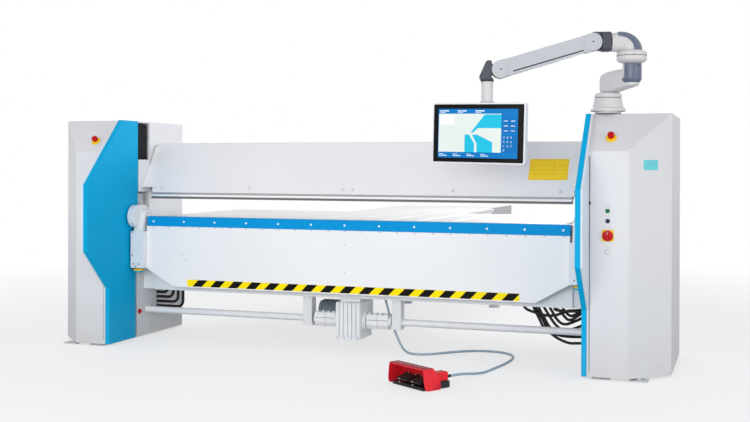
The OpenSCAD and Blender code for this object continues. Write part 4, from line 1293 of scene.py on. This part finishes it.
def add_display(x0, low):
    """The lit picture: a made-up cross-section of the tools, a bar of fields and a keypad."""
    def patch(outline, lift):
        return prism([(x0 + u, low + v) for u, v in outline], -56.05 - lift, -55.9,
                     lambda a, b, h: (a, h, b))

    def square(u, v, w, h):
        return [(u, v), (u + w, v), (u + w, v + h), (u, v + h)]

    left, foot, wide, tall = 34, 30, 522, 302
    blue, pale, teal = [], [], []
    blue.append(patch(square(left, foot, wide, tall), 0.05))
    pale.append(patch(square(left + 4, foot + 36, 412, 236), 0.15))
    cu, cv = left + 212, foot + 150  # where the sheet is bent
    teal.append(patch([(cu + 6, cv + 8), (cu + 22, cv + 6), (cu + 52, cv + 34), (cu + 204, cv + 34),
                       (cu + 204, cv + 118), (cu + 96, cv + 118)], 0.25))
    teal.append(patch([(cu + 14, cv - 6), (cu + 48, cv - 6), (cu + 148, cv - 52), (cu + 148, cv - 114),
                       (cu + 46, cv - 114), (cu + 46, cv - 64)], 0.25))
    teal.append(patch([(cu - 34, cv - 6), (cu - 6, cv - 6), (cu + 30, cv - 60), (cu + 30, cv - 114),
                       (cu - 34, cv - 114)], 0.25))
    finish = {"blue": lit("display_blue", rgb(0, 112, 182)), "pale": lit("display_ground", rgb(214, 222, 216)),
              "teal": lit("display_drawing", rgb(28, 180, 210)), "dark": lit("display_keys", rgb(4, 104, 172)),
              "white": lit("display_marks", rgb(232, 240, 246))}
    dark = [patch(square(left + 426 + 23 * c, foot + 40 + 26 * r, 19, 21), 0.15)
            for c in range(4) for r in range(4)]
    dark += [patch(square(left + 426 + 46 * c, foot + 156 + 30 * r, 42, 24), 0.15)
             for c in range(2) for r in range(3)]
    white = [patch(square(left + 8 + 92 * i, foot + 12, 52, 4), 0.3) for i in range(4)]
    white += [patch(square(left + 8 + 92 * i, foot + 22, 30, 3), 0.3) for i in range(4)]
    white += [patch(square(left + 10 + 118 * i, foot + tall - 16, 60, 6), 0.3) for i in range(3)]
    white += [patch(square(left + 10 + 118 * i, foot + tall - 25, 38, 3), 0.3) for i in range(3)]
    white += [patch(square(left + 14, foot + 205, 92, 58), 0.2)]
    white += [patch(square(left + 432 + 46 * c, foot + 166 + 30 * r, 26, 4), 0.3)
              for c in range(2) for r in range(3)]
    for key, parts, slot in (("blue", blue, "blue_paint"), ("pale", pale, "white_paint"),
                             ("teal", teal, "blue_paint"), ("dark", dark, "blue_paint"),
                             ("white", white, "white_paint")):
        made("display_" + key, moved(merged(*parts), on_face), finish[key], "panel", 0.0)
    digits = []
    for i, mark in enumerate("789456123"):
        digits.append((mark, left + 430 + 23 * (i % 3), foot + 122 - 26 * (i // 3)))
    digits.append(("0", left + 430, foot + 44))
    points, faces = [], []
    for mark, u, v in digits:
        text = bpy.data.curves.new("digit", "FONT")
        text.body, text.size = mark, 17
        obj = bpy.data.objects.new("digit", text)
        mesh = bpy.data.meshes.new_from_object(obj)
        part = ([tuple(on_face((x0 + u + p.co.x, -56.45, low + v + p.co.y))) for p in mesh.vertices],
                [tuple(f.vertices) for f in mesh.polygons])
        points, faces = merged((points, faces), part)
        bpy.data.objects.remove(obj)
        bpy.data.meshes.remove(mesh)
        bpy.data.curves.remove(text)
    flat = bpy.data.meshes.new("display_digits")
    flat.from_pydata([at(*p) for p in points], [], faces)
    new_piece("display_digits", flat, finish["white"], "panel")


# The foot switch

def add_foot_switch():
    """A red hood open at the front over two black pedals, with a plug box behind it."""
    rounded("footswitch_base", 3.0, BLACK)
    back = SWITCH_D - 2
    profile = [(5, 4), (-6, 12), (-12, 40), (-14, 100), (-13, 120), (-10, 127), (-5, 130), (back - 53, 130),
               (back - 43, 126), (back - 12, 86), (back - 4, 68), (back, 50), (back, 18), (back - 3, 9), (back - 11, 4)]
    bm = bmesh.new()
    sides = []
    for mirror in (-1, 1):
        ring = []
        for y, z in profile:
            out = 16 + 18 * (1 - z / 130)  # the end walls lean out towards the floor
            ring.append(bm.verts.new(at(*on_switch((-out if mirror < 0 else SWITCH_W + out, y, z)))))
        sides.append(ring)
    left, right = sides
    bm.faces.new(left)
    bm.faces.new(right[::-1])
    for k in range(4, 12):
        bm.faces.new((left[k], right[k], right[k + 1], left[k + 1]))
    bmesh.ops.recalc_face_normals(bm, faces=bm.faces)
    mesh = bpy.data.meshes.new("footswitch_hood_shell")
    bm.to_mesh(mesh)
    bm.free()
    crisp(mesh, 50)
    hood = new_piece("footswitch_hood_shell", mesh, RED, "machine", ("footswitch_hood",))
    edge = hood.modifiers.new("moulded_corners", "BEVEL")
    edge.width, edge.segments, edge.limit_method, edge.angle_limit = 0.014, 5, "ANGLE", math.radians(50)
    wall = hood.modifiers.new("wall", "SOLIDIFY")
    wall.thickness, wall.offset = 0.006, -1
    soften(hood, 1.2, 2, 50)
    crisp(hood.data, 40)
    deep = SWITCH_D + 86
    plug = prism(round_corners([(SWITCH_W - 71, SWITCH_D - 5), (SWITCH_W - 4, SWITCH_D - 5), (SWITCH_W - 4, deep),
                                (SWITCH_W - 71, deep)], 9, 4), 40.2, 92, lambda a, b, h: (a, b, h))
    made("footswitch_plug_box", moved(plug, on_switch), RED, "machine", 7.0, 4)
    studs = []
    for side, x in (("left", 34.0), ("right", SWITCH_W / 2 + 14)):
        rounded("pedal_" + side, 2.5, BLACK)
        ribs = [block((x + 10, 12 + 8 * i, 43.6 + 2.5 * i), (x + 94, 16 + 8 * i, 47.6 + 2.5 * i)) for i in range(6)]
        made(f"pedal_{side}_ribs", moved(merged(*ribs), on_switch), BLACK, "foot_pedal_" + side,
             0.8, 1)
        spots = [(*on_switch((x + u, SWITCH_D - 33, 62)), UP) for u in (18, 86)]
        fasteners(f"pedal_{side}_screws", spots, 5, 3, "foot_pedal_" + side)
        nose = block((x + 22, -1.2, 35), (x + 34, 1, 42))
        made(f"pedal_{side}_clip", moved(nose, on_switch), ZINC, "foot_pedal_" + side, 0.8, 1)
        studs.append(lathe([(5, 17.5), (5, 23), (3.5, 24.5), (0, 24.5)], (*on_switch((x + 28, 4, 0))[:2], 0), UP, 16))
    made("pedal_stop_studs", merged(*studs), ZINC, "machine", 0.3, 1)
    spots = [(*on_switch((u, v, 92)), UP) for u in (SWITCH_W - 60, SWITCH_W - 15) for v in (SWITCH_D + 10, deep - 12)]
    fasteners("plug_box_screws", spots, 3.5, 1.2, "machine", finish=DARK)


# Floor and light

def set_stage():
    mesh = bpy.data.meshes.new("studio_floor")
    mesh.from_pydata([(-40, -40, 0), (40, -40, 0), (40, 40, 0), (-40, 40, 0)], [], [(0, 1, 2, 3)])
    floor = bpy.data.objects.new("studio_floor", mesh)
    bpy.context.scene.collection.objects.link(floor)
    f = Finish("studio_floor_white", (0.86, 0.86, 0.865, 1), 0.6, Specular_IOR_Level=0.2)
    f.tint(f.between(f.noise(0.7, 2), 0.3, 0.7, 0.0, 0.2), (0.83, 0.83, 0.84, 1))
    ray = f.add("ShaderNodeLightPath")
    f.tint(f.between(ray.outputs["Is Camera Ray"], 0, 1, 1, 0), (0.62, 0.62, 0.62, 1))
    length = f.add("ShaderNodeVectorMath", operation="LENGTH")
    f.join(f.place, length.inputs[0])
    share = f.between(length.outputs["Value"], 3.2, 7.0, 0.62, 1.0)
    glow = f.add("ShaderNodeEmission")
    glow.inputs["Strength"].default_value = 1.0
    blend = f.add("ShaderNodeMixShader")
    f.join(f.times(share, ray.outputs["Is Camera Ray"]), blend.inputs[0])
    f.join(f.shader.outputs[0], blend.inputs[1])
    f.join(glow.outputs[0], blend.inputs[2])
    f.join(blend.outputs[0], f.tree.nodes["Material Output"].inputs["Surface"])
    mesh.materials.append(f.material)

    world = bpy.data.worlds.new("studio")
    bpy.context.scene.world = world
    world.use_nodes = True
    tree = world.node_tree
    soft = tree.nodes["Background"]
    soft.inputs["Color"].default_value = (0.95, 0.97, 1.0, 1)
    # brighter along the horizon than overhead, as in a hall with windows
    aim = tree.nodes.new("ShaderNodeTexCoord")
    split = tree.nodes.new("ShaderNodeSeparateXYZ")
    height = tree.nodes.new("ShaderNodeMapRange")
    height.inputs["From Min"].default_value, height.inputs["From Max"].default_value = 0.0, 0.9
    height.inputs["To Min"].default_value, height.inputs["To Max"].default_value = 1.22, 0.5
    tree.links.new(aim.outputs["Generated"], split.inputs[0])
    tree.links.new(split.outputs["Z"], height.inputs["Value"])
    tree.links.new(height.outputs[0], soft.inputs["Strength"])
    seen = tree.nodes.new("ShaderNodeBackground")
    seen.inputs["Color"].default_value = (1, 1, 1, 1)
    seen.inputs["Strength"].default_value = 1.0
    path = tree.nodes.new("ShaderNodeLightPath")
    first = tree.nodes.new("ShaderNodeMath")
    first.operation = "MAXIMUM"
    tree.links.new(path.outputs["Is Camera Ray"], first.inputs[0])
    tree.links.new(path.outputs["Is Glossy Ray"], first.inputs[1])
    either = tree.nodes.new("ShaderNodeMath")
    either.operation = "MAXIMUM"
    tree.links.new(first.outputs[0], either.inputs[0])
    tree.links.new(path.outputs["Is Transmission Ray"], either.inputs[1])
    mix = tree.nodes.new("ShaderNodeMixShader")
    tree.links.new(either.outputs[0], mix.inputs[0])
    tree.links.new(soft.outputs[0], mix.inputs[1])
    tree.links.new(seen.outputs[0], mix.inputs[2])
    tree.links.new(mix.outputs[0], tree.nodes["World Output"].inputs["Surface"])

    for name, place, target, size, power in (
            ("key_softbox", (0.5, -8.4, 1.9), (0, -0.8, 0.9), (5, 2), 190),
            ("inner_softbox", (1.0, 1.3, 2.3), (-1.7, -0.6, 1.15), (1.5, 1.2), 34),
            ("side_softbox", (7.4, -4.6, 1.3), (0.3, -0.5, 0.8), (3, 2.5), 85)):
        lamp = bpy.data.lights.new(name, "AREA")
        lamp.shape, lamp.size, lamp.size_y, lamp.energy = "RECTANGLE", size[0], size[1], power
        obj = bpy.data.objects.new(name, lamp)
        obj.location = place
        obj.rotation_mode = "QUATERNION"
        obj.rotation_quaternion = (Vector(target) - Vector(place)).to_track_quat("-Z", "Y")
        bpy.context.scene.collection.objects.link(obj)

    bpy.context.scene.view_settings.view_transform = "Standard"


place_camera()
add_cable()
add_towers()
add_controls()
add_clamping_beam()
add_folding_beam()
add_lower_beam()
add_arm_base()
add_arm_link()
add_elbow()
add_boom()
add_panel()
add_foot_switch()
set_stage()
